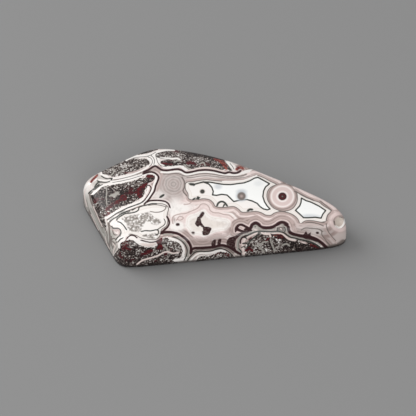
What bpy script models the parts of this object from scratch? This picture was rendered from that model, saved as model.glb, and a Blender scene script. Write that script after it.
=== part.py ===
"""Crazy lace agate cabochon: one polished freeform stone with a flat back.

The stone lies on its back with +Z up, its long axis along X and its blunt tip at +X. Its outline
is a kite with soft corners. An upright wall rises from the base, rolls in over a shoulder and
meets a gently domed top, and one small round dimple is sunk into the shoulder at the tip.

Sizes below are in millimetres, and the mesh is in metres. The shape is worked out around the
middle of the dome, and then moved so that the origin is at the middle of the base's extents.
"""

import math

import bmesh
import bpy
from mathutils import Vector

MM = 0.001

NAME = "agate_cabochon"

# Each side of the kite is one straight edge: the direction that it faces, in degrees from +X,
# and its distance from the middle of the dome.
SIDES = {
    "front": (-73.0, 11.4),
    "tip": (14.0, 32.4),
    "rear_right": (70.5, 14.6),
    "rear": (90.0, 13.2),
    "rear_left": (134.0, 13.9),
    "left_end": (215.5, 14.2),
}
# The power of the blend that joins the sides. A higher one gives tighter corners, and the dome's
# lower one keeps its slopes free of ridges.
CORNER_POWER = 13.5
CROWN_POWER = 8.0

WALL_HEIGHT = 6.0
SHOULDER_INSET = 1.7
# 2 would be an elliptical shoulder. A higher power keeps the wall upright for longer.
SHOULDER_POWER = 3.0
CROWN_HEIGHT = 2.2
BASE_ROUNDING = 0.4

# The dimple sits where the shoulder has turned this far, seen this way from the dome's middle.
DIMPLE_BEARING = -1.25
DIMPLE_TURN = 65.0
DIMPLE_RADIUS = 1.15
DIMPLE_DEPTH = 0.75
DIMPLE_SEGMENTS = 28
DIMPLE_RINGS = 18

SECTORS = 144
BASE_STEPS = 3
SHOULDER_STEPS = 10
# The top's rings, each as a share of the reach of the shoulder's last one.
TOP_SCALES = (0.95, 0.87, 0.76, 0.63, 0.49, 0.34, 0.18)
OUTLINE_SAMPLES = 3600
SHARP_ANGLE = 40.0

STONE_COLOUR = (0.58, 0.44, 0.43, 1.0)
STONE_ROUGHNESS = 0.12
STONE_IOR = 1.54


def outline_reach(bearing, inset=0.0):
    """Distance from the dome's middle to the kite's edge, with each side moved in by inset."""
    total = 0.0
    for facing, distance in SIDES.values():
        towards = math.cos(bearing - math.radians(facing))
        if towards > 0.0:
            total += (towards / (distance - inset)) ** CORNER_POWER
    return total ** (-1.0 / CORNER_POWER)


def crown(x, y):
    """Height of the dome as a share of its full height: 1 in the middle, about 0 at the sides."""
    total = 0.0
    for facing, distance in SIDES.values():
        angle = math.radians(facing)
        towards = max(0.0, x * math.cos(angle) + y * math.sin(angle)) / distance
        total += towards ** CROWN_POWER
    return 1.0 - total ** (2.0 / CROWN_POWER)


def base_point(bearing, turn):
    """Point on the base's small rounding, which turns from 0 at the base to 90 at the wall."""
    angle = math.radians(turn)
    reach = outline_reach(bearing, BASE_ROUNDING * (1.0 - math.sin(angle)))
    height = BASE_ROUNDING * (1.0 - math.cos(angle))
    return Vector((reach * math.cos(bearing), reach * math.sin(bearing), height))


def wall_point(bearing, turn):
    """Point on the wall and shoulder, which turn from 0 at the base to 90 at the top."""
    angle = math.radians(turn)
    power = 2.0 / SHOULDER_POWER
    rise = math.sin(angle) ** power
    inset = SHOULDER_INSET * (1.0 - max(0.0, math.cos(angle)) ** power)
    reach = outline_reach(bearing, inset)
    x = reach * math.cos(bearing)
    y = reach * math.sin(bearing)
    return Vector((x, y, rise * (WALL_HEIGHT + CROWN_HEIGHT * crown(x, y))))


def top_point(bearing, scale):
    """Point on the domed top, at a share of the way from its middle to the shoulder."""
    reach = scale * outline_reach(bearing, SHOULDER_INSET)
    x = reach * math.cos(bearing)
    y = reach * math.sin(bearing)
    return Vector((x, y, WALL_HEIGHT + CROWN_HEIGHT * crown(x, y)))


def sector_bearings():
    """Bearings of the sectors, spaced by how far the outline runs and how much it turns."""
    fine = [math.tau * i / OUTLINE_SAMPLES for i in range(OUTLINE_SAMPLES + 1)]
    points = [outline_reach(b) * Vector((math.cos(b), math.sin(b))) for b in fine]
    steps = [points[i + 1] - points[i] for i in range(OUTLINE_SAMPLES)]
    perimeter = sum(step.length for step in steps)
    measure = [0.0]
    for i, step in enumerate(steps):
        turned = abs(step.angle_signed(steps[(i + 1) % OUTLINE_SAMPLES]))
        measure.append(measure[-1] + step.length / perimeter + turned / math.tau)
    bearings = []
    reached = 0
    for sector in range(SECTORS):
        target = measure[-1] * sector / SECTORS
        while measure[reached + 1] < target:
            reached += 1
        bearings.append(fine[reached])
    return bearings


def outline_centre():
    """Middle of the outline's extents, measured from the middle of the dome."""
    fine = [math.tau * i / OUTLINE_SAMPLES for i in range(OUTLINE_SAMPLES)]
    xs = [outline_reach(b) * math.cos(b) for b in fine]
    ys = [outline_reach(b) * math.sin(b) for b in fine]
    return Vector(((min(xs) + max(xs)) / 2.0, (min(ys) + max(ys)) / 2.0, 0.0))


def loft_rings():
    """Rings of points from the base's edge up to the top, one list for each ring."""
    bearings = sector_bearings()
    rings = []
    for step in range(BASE_STEPS):
        turn = 90.0 * step / BASE_STEPS
        rings.append([base_point(b, turn) for b in bearings])
    for step in range(1, SHOULDER_STEPS + 1):
        turn = 90.0 * step / SHOULDER_STEPS
        rings.append([wall_point(b, turn) for b in bearings])
    for scale in TOP_SCALES:
        rings.append([top_point(b, scale) for b in bearings])
    return rings


def stone_material():
    """Polished agate in its average dusty pink."""
    material = bpy.data.materials.new("polished_agate")
    material.use_nodes = True
    shader = material.node_tree.nodes["Principled BSDF"]
    shader.inputs["Base Color"].default_value = STONE_COLOUR
    shader.inputs["Roughness"].default_value = STONE_ROUGHNESS
    shader.inputs["Metallic"].default_value = 0.0
    shader.inputs["IOR"].default_value = STONE_IOR
    return material


def build_stone(collection):
    """Loft the stone through its rings, with one flat face for the base."""
    centre = outline_centre()
    mesh_builder = bmesh.new()
    rings = []
    for points in loft_rings():
        rings.append([mesh_builder.verts.new((point - centre) * MM) for point in points])
    summit = Vector((0.0, 0.0, WALL_HEIGHT + CROWN_HEIGHT))
    middle = mesh_builder.verts.new((summit - centre) * MM)

    mesh_builder.faces.new(reversed(rings[0]))
    for lower, upper in zip(rings, rings[1:]):
        for i in range(SECTORS):
            j = (i + 1) % SECTORS
            mesh_builder.faces.new((lower[i], lower[j], upper[j], upper[i]))
    for i in range(SECTORS):
        mesh_builder.faces.new((rings[-1][i], rings[-1][(i + 1) % SECTORS], middle))

    mesh = bpy.data.meshes.new(NAME)
    mesh_builder.to_mesh(mesh)
    mesh_builder.free()
    mesh.shade_smooth()
    mesh.set_sharp_from_angle(angle=math.radians(SHARP_ANGLE))
    mesh.materials.append(stone_material())
    stone = bpy.data.objects.new(NAME, mesh)
    collection.objects.link(stone)
    return stone


def build_dimple_cutter(collection):
    """Ball that leaves the dimple: its middle stands off the shoulder along the normal."""
    bearing = math.radians(DIMPLE_BEARING)
    mouth = wall_point(bearing, DIMPLE_TURN)
    along = wall_point(bearing + math.radians(1.0), DIMPLE_TURN) - mouth
    upward = wall_point(bearing, DIMPLE_TURN + 1.0) - mouth
    outward = along.cross(upward).normalized()
    ball_radius = (DIMPLE_RADIUS ** 2 + DIMPLE_DEPTH ** 2) / (2.0 * DIMPLE_DEPTH)
    middle = mouth + outward * (ball_radius - DIMPLE_DEPTH) - outline_centre()
    bpy.ops.mesh.primitive_uv_sphere_add(
        segments=DIMPLE_SEGMENTS, ring_count=DIMPLE_RINGS,
        radius=ball_radius * MM, location=middle * MM)
    cutter = bpy.context.active_object
    cutter.name = "dimple_cutter"
    cutter.rotation_euler = outward.to_track_quat("Z", "Y").to_euler()
    cutter.hide_render = True
    cutter.display_type = "WIRE"
    for home in list(cutter.users_collection):
        home.objects.unlink(cutter)
    collection.objects.link(cutter)
    return cutter


def sink_dimple(stone, cutter):
    """Cut the dimple out of the stone."""
    cut = stone.modifiers.new("dimple", "BOOLEAN")
    cut.operation = "DIFFERENCE"
    cut.solver = "EXACT"
    cut.object = cutter


def new_collection(name):
    """Collection of this name in the scene."""
    collection = bpy.data.collections.new(name)
    bpy.context.scene.collection.children.link(collection)
    return collection


def main():
    """Build the stone in an empty scene."""
    for old in list(bpy.data.objects):
        bpy.data.objects.remove(old, do_unlink=True)
    stone = build_stone(new_collection("crazy_lace_agate_cabochon"))
    cutter = build_dimple_cutter(new_collection("cutters"))
    sink_dimple(stone, cutter)


main()
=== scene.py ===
"""Crazy lace agate cabochon: the stone's fine surface, its lace pattern and its studio.

The stone is one polished solid. Its form repeats the solid's own driving dimensions with a fine
mesh. The pattern runs through the stone as it does in real agate: each nest, band, pond and eye is
an outline read from the photograph, carried through the stone along the line of sight, and it
wanders more the deeper it runs. Each point of the mesh stores how far it is from those outlines,
in millimetres, and the finish turns the distances into bands, lines and crystal.
"""

import logging
import math
from dataclasses import dataclass, field
from enum import Enum

import bpy
import numpy as np
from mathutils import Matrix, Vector
from mathutils.bvhtree import BVHTree
from mathutils.geometry import delaunay_2d_cdt


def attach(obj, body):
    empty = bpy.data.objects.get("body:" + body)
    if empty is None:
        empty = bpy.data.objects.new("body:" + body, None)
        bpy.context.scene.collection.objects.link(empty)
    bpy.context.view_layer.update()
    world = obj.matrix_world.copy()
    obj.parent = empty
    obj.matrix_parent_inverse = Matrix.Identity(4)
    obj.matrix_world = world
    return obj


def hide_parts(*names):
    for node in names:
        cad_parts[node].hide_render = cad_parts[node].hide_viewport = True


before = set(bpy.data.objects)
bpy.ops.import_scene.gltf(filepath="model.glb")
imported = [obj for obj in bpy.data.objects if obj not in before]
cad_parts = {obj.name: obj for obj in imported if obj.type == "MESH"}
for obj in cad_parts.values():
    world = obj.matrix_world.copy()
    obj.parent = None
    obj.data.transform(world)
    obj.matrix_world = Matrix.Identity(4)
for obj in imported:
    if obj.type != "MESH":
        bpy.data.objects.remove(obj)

LOG = logging.getLogger("cabochon")
MM = 0.001
NODE = "agate_cabochon"

# The output of delaunay_2d_cdt that holds only the triangles inside the edges given.
INSIDE_ONLY = 1
# Inputs and output of a Mix node that mixes colours, whose names it shares with other types.
MIX_FACTOR, MIX_UNDER, MIX_OVER, MIX_RESULT = 0, 6, 7, 2
# Shift of a noise along x, y and z, for each unit of its offset.
NOISE_SHIFT = (1.0, 0.7, 1.3)

# Distances from the outlines are stored up to this many millimetres, and the bands run as far.
FAR = 3.0
# Names of stored fields, and endings for the further ones that a kind of line has.
FROM_FOOT = "from_foot"
SHARE = "_share"
EDGE = "_edge"

Colour = tuple[float, float, float, float]
Pixel = tuple[float, float]
Outline = tuple[Pixel, ...]
Socket = bpy.types.NodeSocket


def srgb(red: int, green: int, blue: int) -> Colour:
    """Linear colour of an 8-bit screen colour.

    Args:
        red: Red, 0 to 255.
        green: Green, 0 to 255.
        blue: Blue, 0 to 255.

    Returns:
        The linear colour, with an alpha of 1.
    """
    linear = []
    for channel in (red, green, blue):
        share = channel / 255.0
        linear.append(share / 12.92 if share <= 0.04045 else ((share + 0.055) / 1.055) ** 2.4)
    return (linear[0], linear[1], linear[2], 1.0)


@dataclass
class PhotoView:
    """The camera that took the photograph, and the frame that pixel coordinates are read in.

    Sizes are in millimetres, angles in degrees and pixels in the 416 x 416 frame.
    """

    azimuth: float = 10.0
    elevation: float = 48.0
    distance: float = 330.0
    mm_per_pixel: float = 0.1893
    frame_pixels: float = 416.0
    aim: tuple[float, float, float] = (-1.28, 2.19, 2.06)
    near_clip: float = 10.0
    far_clip: float = 20000.0

    def backward(self) -> np.ndarray:
        """Unit vector from the aim to the camera."""
        turn, tilt = math.radians(self.azimuth), math.radians(self.elevation)
        return np.array([
            math.sin(turn) * math.cos(tilt), -math.cos(turn) * math.cos(tilt), math.sin(tilt)])

    def place(self) -> np.ndarray:
        """Where the camera stands."""
        return np.array(self.aim) + self.backward() * self.distance

    def pixels_of(self, points: np.ndarray) -> np.ndarray:
        """Project points of the stone to the photograph.

        Args:
            points: One row of x, y, z for each point, in millimetres.

        Returns:
            One row of x, y for each point, counted in pixels from the middle of the first one.
        """
        backward = self.backward()
        turn = math.radians(self.azimuth)
        right = np.array([math.cos(turn), math.sin(turn), 0.0])
        upward = np.cross(backward, right)
        offset = points - np.array(self.aim)
        scale = (self.distance / self.mm_per_pixel) / (self.distance - offset @ backward)
        middle = (self.frame_pixels - 1.0) / 2.0
        return np.stack(
            [middle + scale * (offset @ right), middle - scale * (offset @ upward)], axis=1)

    def build_camera(self) -> bpy.types.Object:
        """Make the camera and give it to the scene.

        Returns:
            The camera.
        """
        data = bpy.data.cameras.new("photo_camera")
        data.sensor_fit = "HORIZONTAL"
        half_width = self.frame_pixels * self.mm_per_pixel / 2.0
        data.angle = 2.0 * math.atan(half_width / self.distance)
        data.clip_start = self.near_clip * MM
        data.clip_end = self.far_clip * MM
        camera = bpy.data.objects.new("photo_camera", data)
        camera.location = Vector(self.place()) * MM
        camera.rotation_mode = "QUATERNION"
        camera.rotation_quaternion = Vector(-self.backward()).to_track_quat("-Z", "Y")
        bpy.context.scene.collection.objects.link(camera)
        bpy.context.scene.camera = camera
        return camera


@dataclass(frozen=True)
class Side:
    """One straight side of the kite: the way it faces, and how far it is from the dome's middle."""

    facing: float
    distance: float


@dataclass
class CabochonForm:
    """The stone's shape, with the same driving dimensions as the solid, in millimetres.

    The dimple is the print of a ball: ball_share and dimple_reach bound what the ball moves, and
    dimple_probe is the step in degrees that its axis is worked out over. The fields from sectors
    on set the mesh. The wall's rings start at the share first_rise of its height, and are spaced
    partly by rise and partly by turn. The points inside the top and the base keep the share
    ring_gap of their spacing from the ring round them.
    """

    sides: tuple[Side, ...] = (
        Side(-73.0, 11.4),
        Side(14.0, 32.4),
        Side(70.5, 14.6),
        Side(90.0, 13.2),
        Side(134.0, 13.9),
        Side(215.5, 14.2),
    )
    corner_power: float = 13.5
    crown_power: float = 8.0
    wall_height: float = 6.0
    shoulder_inset: float = 1.7
    shoulder_power: float = 3.0
    crown_height: float = 2.2
    base_rounding: float = 0.4
    dimple_bearing: float = -1.25
    dimple_turn: float = 65.0
    dimple_radius: float = 1.15
    dimple_depth: float = 0.75
    dimple_rim: float = 0.07
    dimple_reach: float = 2.0
    dimple_probe: float = 1.0
    ball_share: float = 0.999
    sectors: int = 800
    outline_samples: int = 20001
    base_turns: tuple[float, ...] = (0.0, 22.5, 45.0, 67.5)
    wall_turns: int = 34
    first_rise: float = 0.09
    by_rise_share: float = 0.55
    evenly_share: float = 0.45
    top_spacing: float = 0.15
    base_spacing: float = 0.20
    ring_gap: float = 0.6
    merge_distance: float = 1e-7
    _facings: np.ndarray = field(init=False, repr=False)
    _distances: np.ndarray = field(init=False, repr=False)

    def __post_init__(self) -> None:
        """Keep the sides as arrays."""
        self._facings = np.radians([side.facing for side in self.sides])
        self._distances = np.array([side.distance for side in self.sides])

    def reach(self, bearings: np.ndarray, inset: float = 0.0) -> np.ndarray:
        """Distance from the dome's middle to the outline.

        Args:
            bearings: Directions to look in, in radians.
            inset: How far every side is moved in.

        Returns:
            The distance in each direction.
        """
        towards = np.maximum(np.cos(bearings[:, None] - self._facings), 0.0)
        shares = (towards / (self._distances - inset)) ** self.corner_power
        return shares.sum(axis=1) ** (-1.0 / self.corner_power)

    def plan(self, bearings: np.ndarray, inset: float = 0.0) -> tuple[np.ndarray, np.ndarray]:
        """The outline's x and y in each direction, with every side moved in by the inset."""
        reach = self.reach(bearings, inset)
        return reach * np.cos(bearings), reach * np.sin(bearings)

    def top_height(self, x: np.ndarray, y: np.ndarray) -> np.ndarray:
        """Height of the domed top at places in the plan.

        Args:
            x: Each place's x, from the dome's middle.
            y: Each place's y.

        Returns:
            The height of each place.
        """
        along = x[:, None] * np.cos(self._facings) + y[:, None] * np.sin(self._facings)
        shares = (np.maximum(along, 0.0) / self._distances) ** self.crown_power
        crown = 1.0 - shares.sum(axis=1) ** (2.0 / self.crown_power)
        return self.wall_height + self.crown_height * crown

    def base_ring(self, bearings: np.ndarray, turn: float) -> np.ndarray:
        """Ring on the base's rounding.

        Args:
            bearings: Directions of the ring's points, in radians.
            turn: The ring's place on the rounding, from 0 at the base to 90 at the wall.

        Returns:
            One row of x, y, z for each point.
        """
        angle = math.radians(turn)
        x, y = self.plan(bearings, self.base_rounding * (1.0 - math.sin(angle)))
        height = np.full_like(x, self.base_rounding * (1.0 - math.cos(angle)))
        return np.stack([x, y, height], axis=1)

    def wall_ring(self, bearings: np.ndarray, turn: float) -> np.ndarray:
        """Ring on the wall or the shoulder.

        Args:
            bearings: Directions of the ring's points, in radians.
            turn: The ring's place, from 0 at the base to 90 at the top.

        Returns:
            One row of x, y, z for each point.
        """
        angle = math.radians(turn)
        power = 2.0 / self.shoulder_power
        rise = math.sin(angle) ** power
        inset = self.shoulder_inset * (1.0 - max(0.0, math.cos(angle)) ** power)
        x, y = self.plan(bearings, inset)
        return np.stack([x, y, rise * self.top_height(x, y)], axis=1)

    def outline(self) -> tuple[np.ndarray, np.ndarray]:
        """Closely spaced bearings right round the stone, and the outline's x and y in each."""
        bearings = np.linspace(0.0, math.tau, self.outline_samples)
        return bearings, np.stack(self.plan(bearings), axis=1)

    def spaced_bearings(self) -> np.ndarray:
        """Bearings of the sectors, evenly spaced along the outline.

        Returns:
            One bearing for each sector, in radians.
        """
        fine, outline = self.outline()
        run = np.concatenate([[0.0], np.cumsum(np.linalg.norm(np.diff(outline, axis=0), axis=1))])
        return np.interp(np.arange(self.sectors) * run[-1] / self.sectors, run, fine)

    def centre(self) -> np.ndarray:
        """Middle of the outline's extents, measured from the middle of the dome."""
        _, outline = self.outline()
        return np.append((outline.min(axis=0) + outline.max(axis=0)) / 2.0, 0.0)

    def wall_turn_list(self) -> np.ndarray:
        """Turns of the wall's rings, closer together where the shoulder curves.

        Returns:
            One turn for each ring, from the lowest ring up.
        """
        steps = np.linspace(0.0, 1.0, self.wall_turns + 1)[1:]
        rises = np.linspace(self.first_rise, 1.0, self.wall_turns)
        by_rise = np.degrees(np.arcsin(rises ** (self.shoulder_power / 2.0)))
        evenly = by_rise[0] + (90.0 - by_rise[0]) * steps
        return self.by_rise_share * by_rise + self.evenly_share * evenly

    def filled(self, ring: np.ndarray, inset: float,
               spacing: float) -> tuple[np.ndarray, list[list[int]]]:
        """Fill the inside of a ring with evenly spaced points.

        Args:
            ring: The ring's plan, one row of x, y for each point.
            inset: The ring's own inset.
            spacing: Distance between the points.

        Returns:
            The inner points' x and y, and triangles that count the ring's points first.
        """
        low, high = ring.min(axis=0), ring.max(axis=0)
        # The points stand at the corners of even-sided triangles.
        rows = np.arange(low[1], high[1], spacing * math.sqrt(0.75))
        places = []
        for number, row in enumerate(rows):
            shift = spacing / 2.0 if number % 2 else 0.0
            columns = np.arange(low[0] + shift, high[0], spacing)
            places.append(np.stack([columns, np.full_like(columns, row)], axis=1))
        grid = np.concatenate(places)
        bearings = np.arctan2(grid[:, 1], grid[:, 0])
        limit = self.reach(bearings, inset + self.ring_gap * spacing)
        grid = grid[np.hypot(grid[:, 0], grid[:, 1]) < limit]
        plan = np.concatenate([ring, grid])
        count = len(ring)
        edges = [(i, (i + 1) % count) for i in range(count)]
        corners = [Vector(point) for point in plan]
        result = delaunay_2d_cdt(corners, edges, [], INSIDE_ONLY, self.merge_distance)
        own = [origins[0] for origins in result[3]]
        triangles = [[own[i] for i in face] for face in result[2]]
        return grid, triangles

    def dimple_axis(self) -> tuple[np.ndarray, np.ndarray]:
        """Where the dimple is sunk.

        Returns:
            The middle of the dimple's mouth, and the unit direction that it opens in.
        """
        bearing = math.radians(self.dimple_bearing)
        around = np.array([bearing, bearing + math.radians(self.dimple_probe)])
        mouth, beside = self.wall_ring(around, self.dimple_turn)
        above = self.wall_ring(around, self.dimple_turn + self.dimple_probe)[0]
        outward = np.cross(beside - mouth, above - mouth)
        return mouth, outward / np.linalg.norm(outward)

    def sink_dimple(self, points: np.ndarray) -> np.ndarray:
        """Press the dimple into the shoulder.

        Args:
            points: The stone's points, measured from the middle of the dome.

        Returns:
            The points, with those inside the dimple's ball moved in along its axis.
        """
        mouth, outward = self.dimple_axis()
        ball = (self.dimple_radius ** 2 + self.dimple_depth ** 2) / (2.0 * self.dimple_depth)
        offset = points - mouth
        stand = offset @ outward
        off_axis = np.linalg.norm(offset - stand[:, None] * outward, axis=1)
        near = (off_axis < ball * self.ball_share) & (np.abs(stand) < self.dimple_reach)
        floor = (ball - self.dimple_depth) - np.sqrt(np.maximum(ball ** 2 - off_axis ** 2, 0.0))
        # A soft minimum of the surface and the ball gives the rim its polished edge.
        gap = np.clip(0.5 + 0.5 * (floor - stand) / self.dimple_rim, 0.0, 1.0)
        sunk = floor * (1.0 - gap) + stand * gap - self.dimple_rim * gap * (1.0 - gap)
        moved = points.copy()
        moved[near] += ((sunk - stand)[:, None] * outward)[near]
        return moved

    def from_foot(self, points: np.ndarray) -> np.ndarray:
        """How far each point is from the wall's foot, up the wall or in over the flat back.

        Args:
            points: The stone's points, in millimetres, as build_mesh gives them.

        Returns:
            The distance of each point, in millimetres.
        """
        x, y, height = (points + self.centre()).T
        flat_edge = self.reach(np.arctan2(y, x), self.base_rounding)
        return height + np.maximum(flat_edge - np.hypot(x, y), 0.0)

    def build_mesh(self, name: str) -> tuple[bpy.types.Mesh, np.ndarray]:
        """Build the fine mesh of the stone.

        Args:
            name: The mesh's name.

        Returns:
            The mesh, in metres, and its points in millimetres.
        """
        bearings = self.spaced_bearings()
        rings = [self.base_ring(bearings, turn) for turn in self.base_turns]
        rings += [self.wall_ring(bearings, turn) for turn in self.wall_turn_list()]
        count = self.sectors
        faces = []
        for level in range(len(rings) - 1):
            for i in range(count):
                j = (i + 1) % count
                low, high = level * count, (level + 1) * count
                faces.append((low + i, low + j, high + j, high + i))

        top, top_faces = self.filled(rings[-1][:, :2], self.shoulder_inset, self.top_spacing)
        base, base_faces = self.filled(rings[0][:, :2], self.base_rounding, self.base_spacing)
        top_start = len(rings) * count
        base_start = top_start + len(top)
        ring_start = (len(rings) - 1) * count
        for face in top_faces:
            faces.append([ring_start + i if i < count else top_start + i - count for i in face])
        for face in base_faces:
            faces.append([i if i < count else base_start + i - count for i in reversed(face)])

        top_points = np.column_stack([top, self.top_height(top[:, 0], top[:, 1])])
        points = np.concatenate(rings + [top_points, np.column_stack([base, np.zeros(len(base))])])
        points = self.sink_dimple(points) - self.centre()
        mesh = bpy.data.meshes.new(name)
        mesh.from_pydata((points * MM).tolist(), [], faces)
        mesh.update()
        mesh.shade_smooth()
        return mesh, points


class Line(Enum):
    """The kinds of line that are drawn in the lace."""

    ASH = "ash"
    SILVER = "silver"
    ROSE = "rose"
    WHITE = "white"
    BONE = "bone"
    BRICK = "brick"
    RED = "red"
    BROWN = "brown"
    HAIR = "hair"
    MAROON = "maroon"


class Zone(Enum):
    """The kinds of area that the lace closes in."""

    NEST = "nest"
    FROST = "frost"
    MILK = "milk"
    POND = "pond"
    HEART = "heart"
    RED = "red_zone"
    BROWN = "brown_zone"


class Tint(Enum):
    """Soft changes of colour: in the lace between the lines, in the ponds and in the crystal."""

    WHITE = "tint_white"
    MAUVE = "tint_mauve"
    GREY = "tint_grey"
    DUSTY = "tint_dusty"
    PINK = "tint_pink"
    HAZE = "tint_haze"
    GLINT = "tint_glint"
    SHADE = "tint_shade"


@dataclass(frozen=True)
class Stroke:
    """One line: its width in millimetres, and the pixels that it passes through."""

    width: float
    pixels: Outline


@dataclass(frozen=True)
class Cloud:
    """One soft patch of tint: its middle and half axes in pixels, its tilt in degrees and strength."""

    middle: Pixel
    radii: Pixel
    tilt: float = 0.0
    strength: float = 1.0


@dataclass(frozen=True)
class Eye:
    """One round eye: its name, its middle in pixels, and its height as a share of its width."""

    name: str
    middle: Pixel
    squash: float


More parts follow.
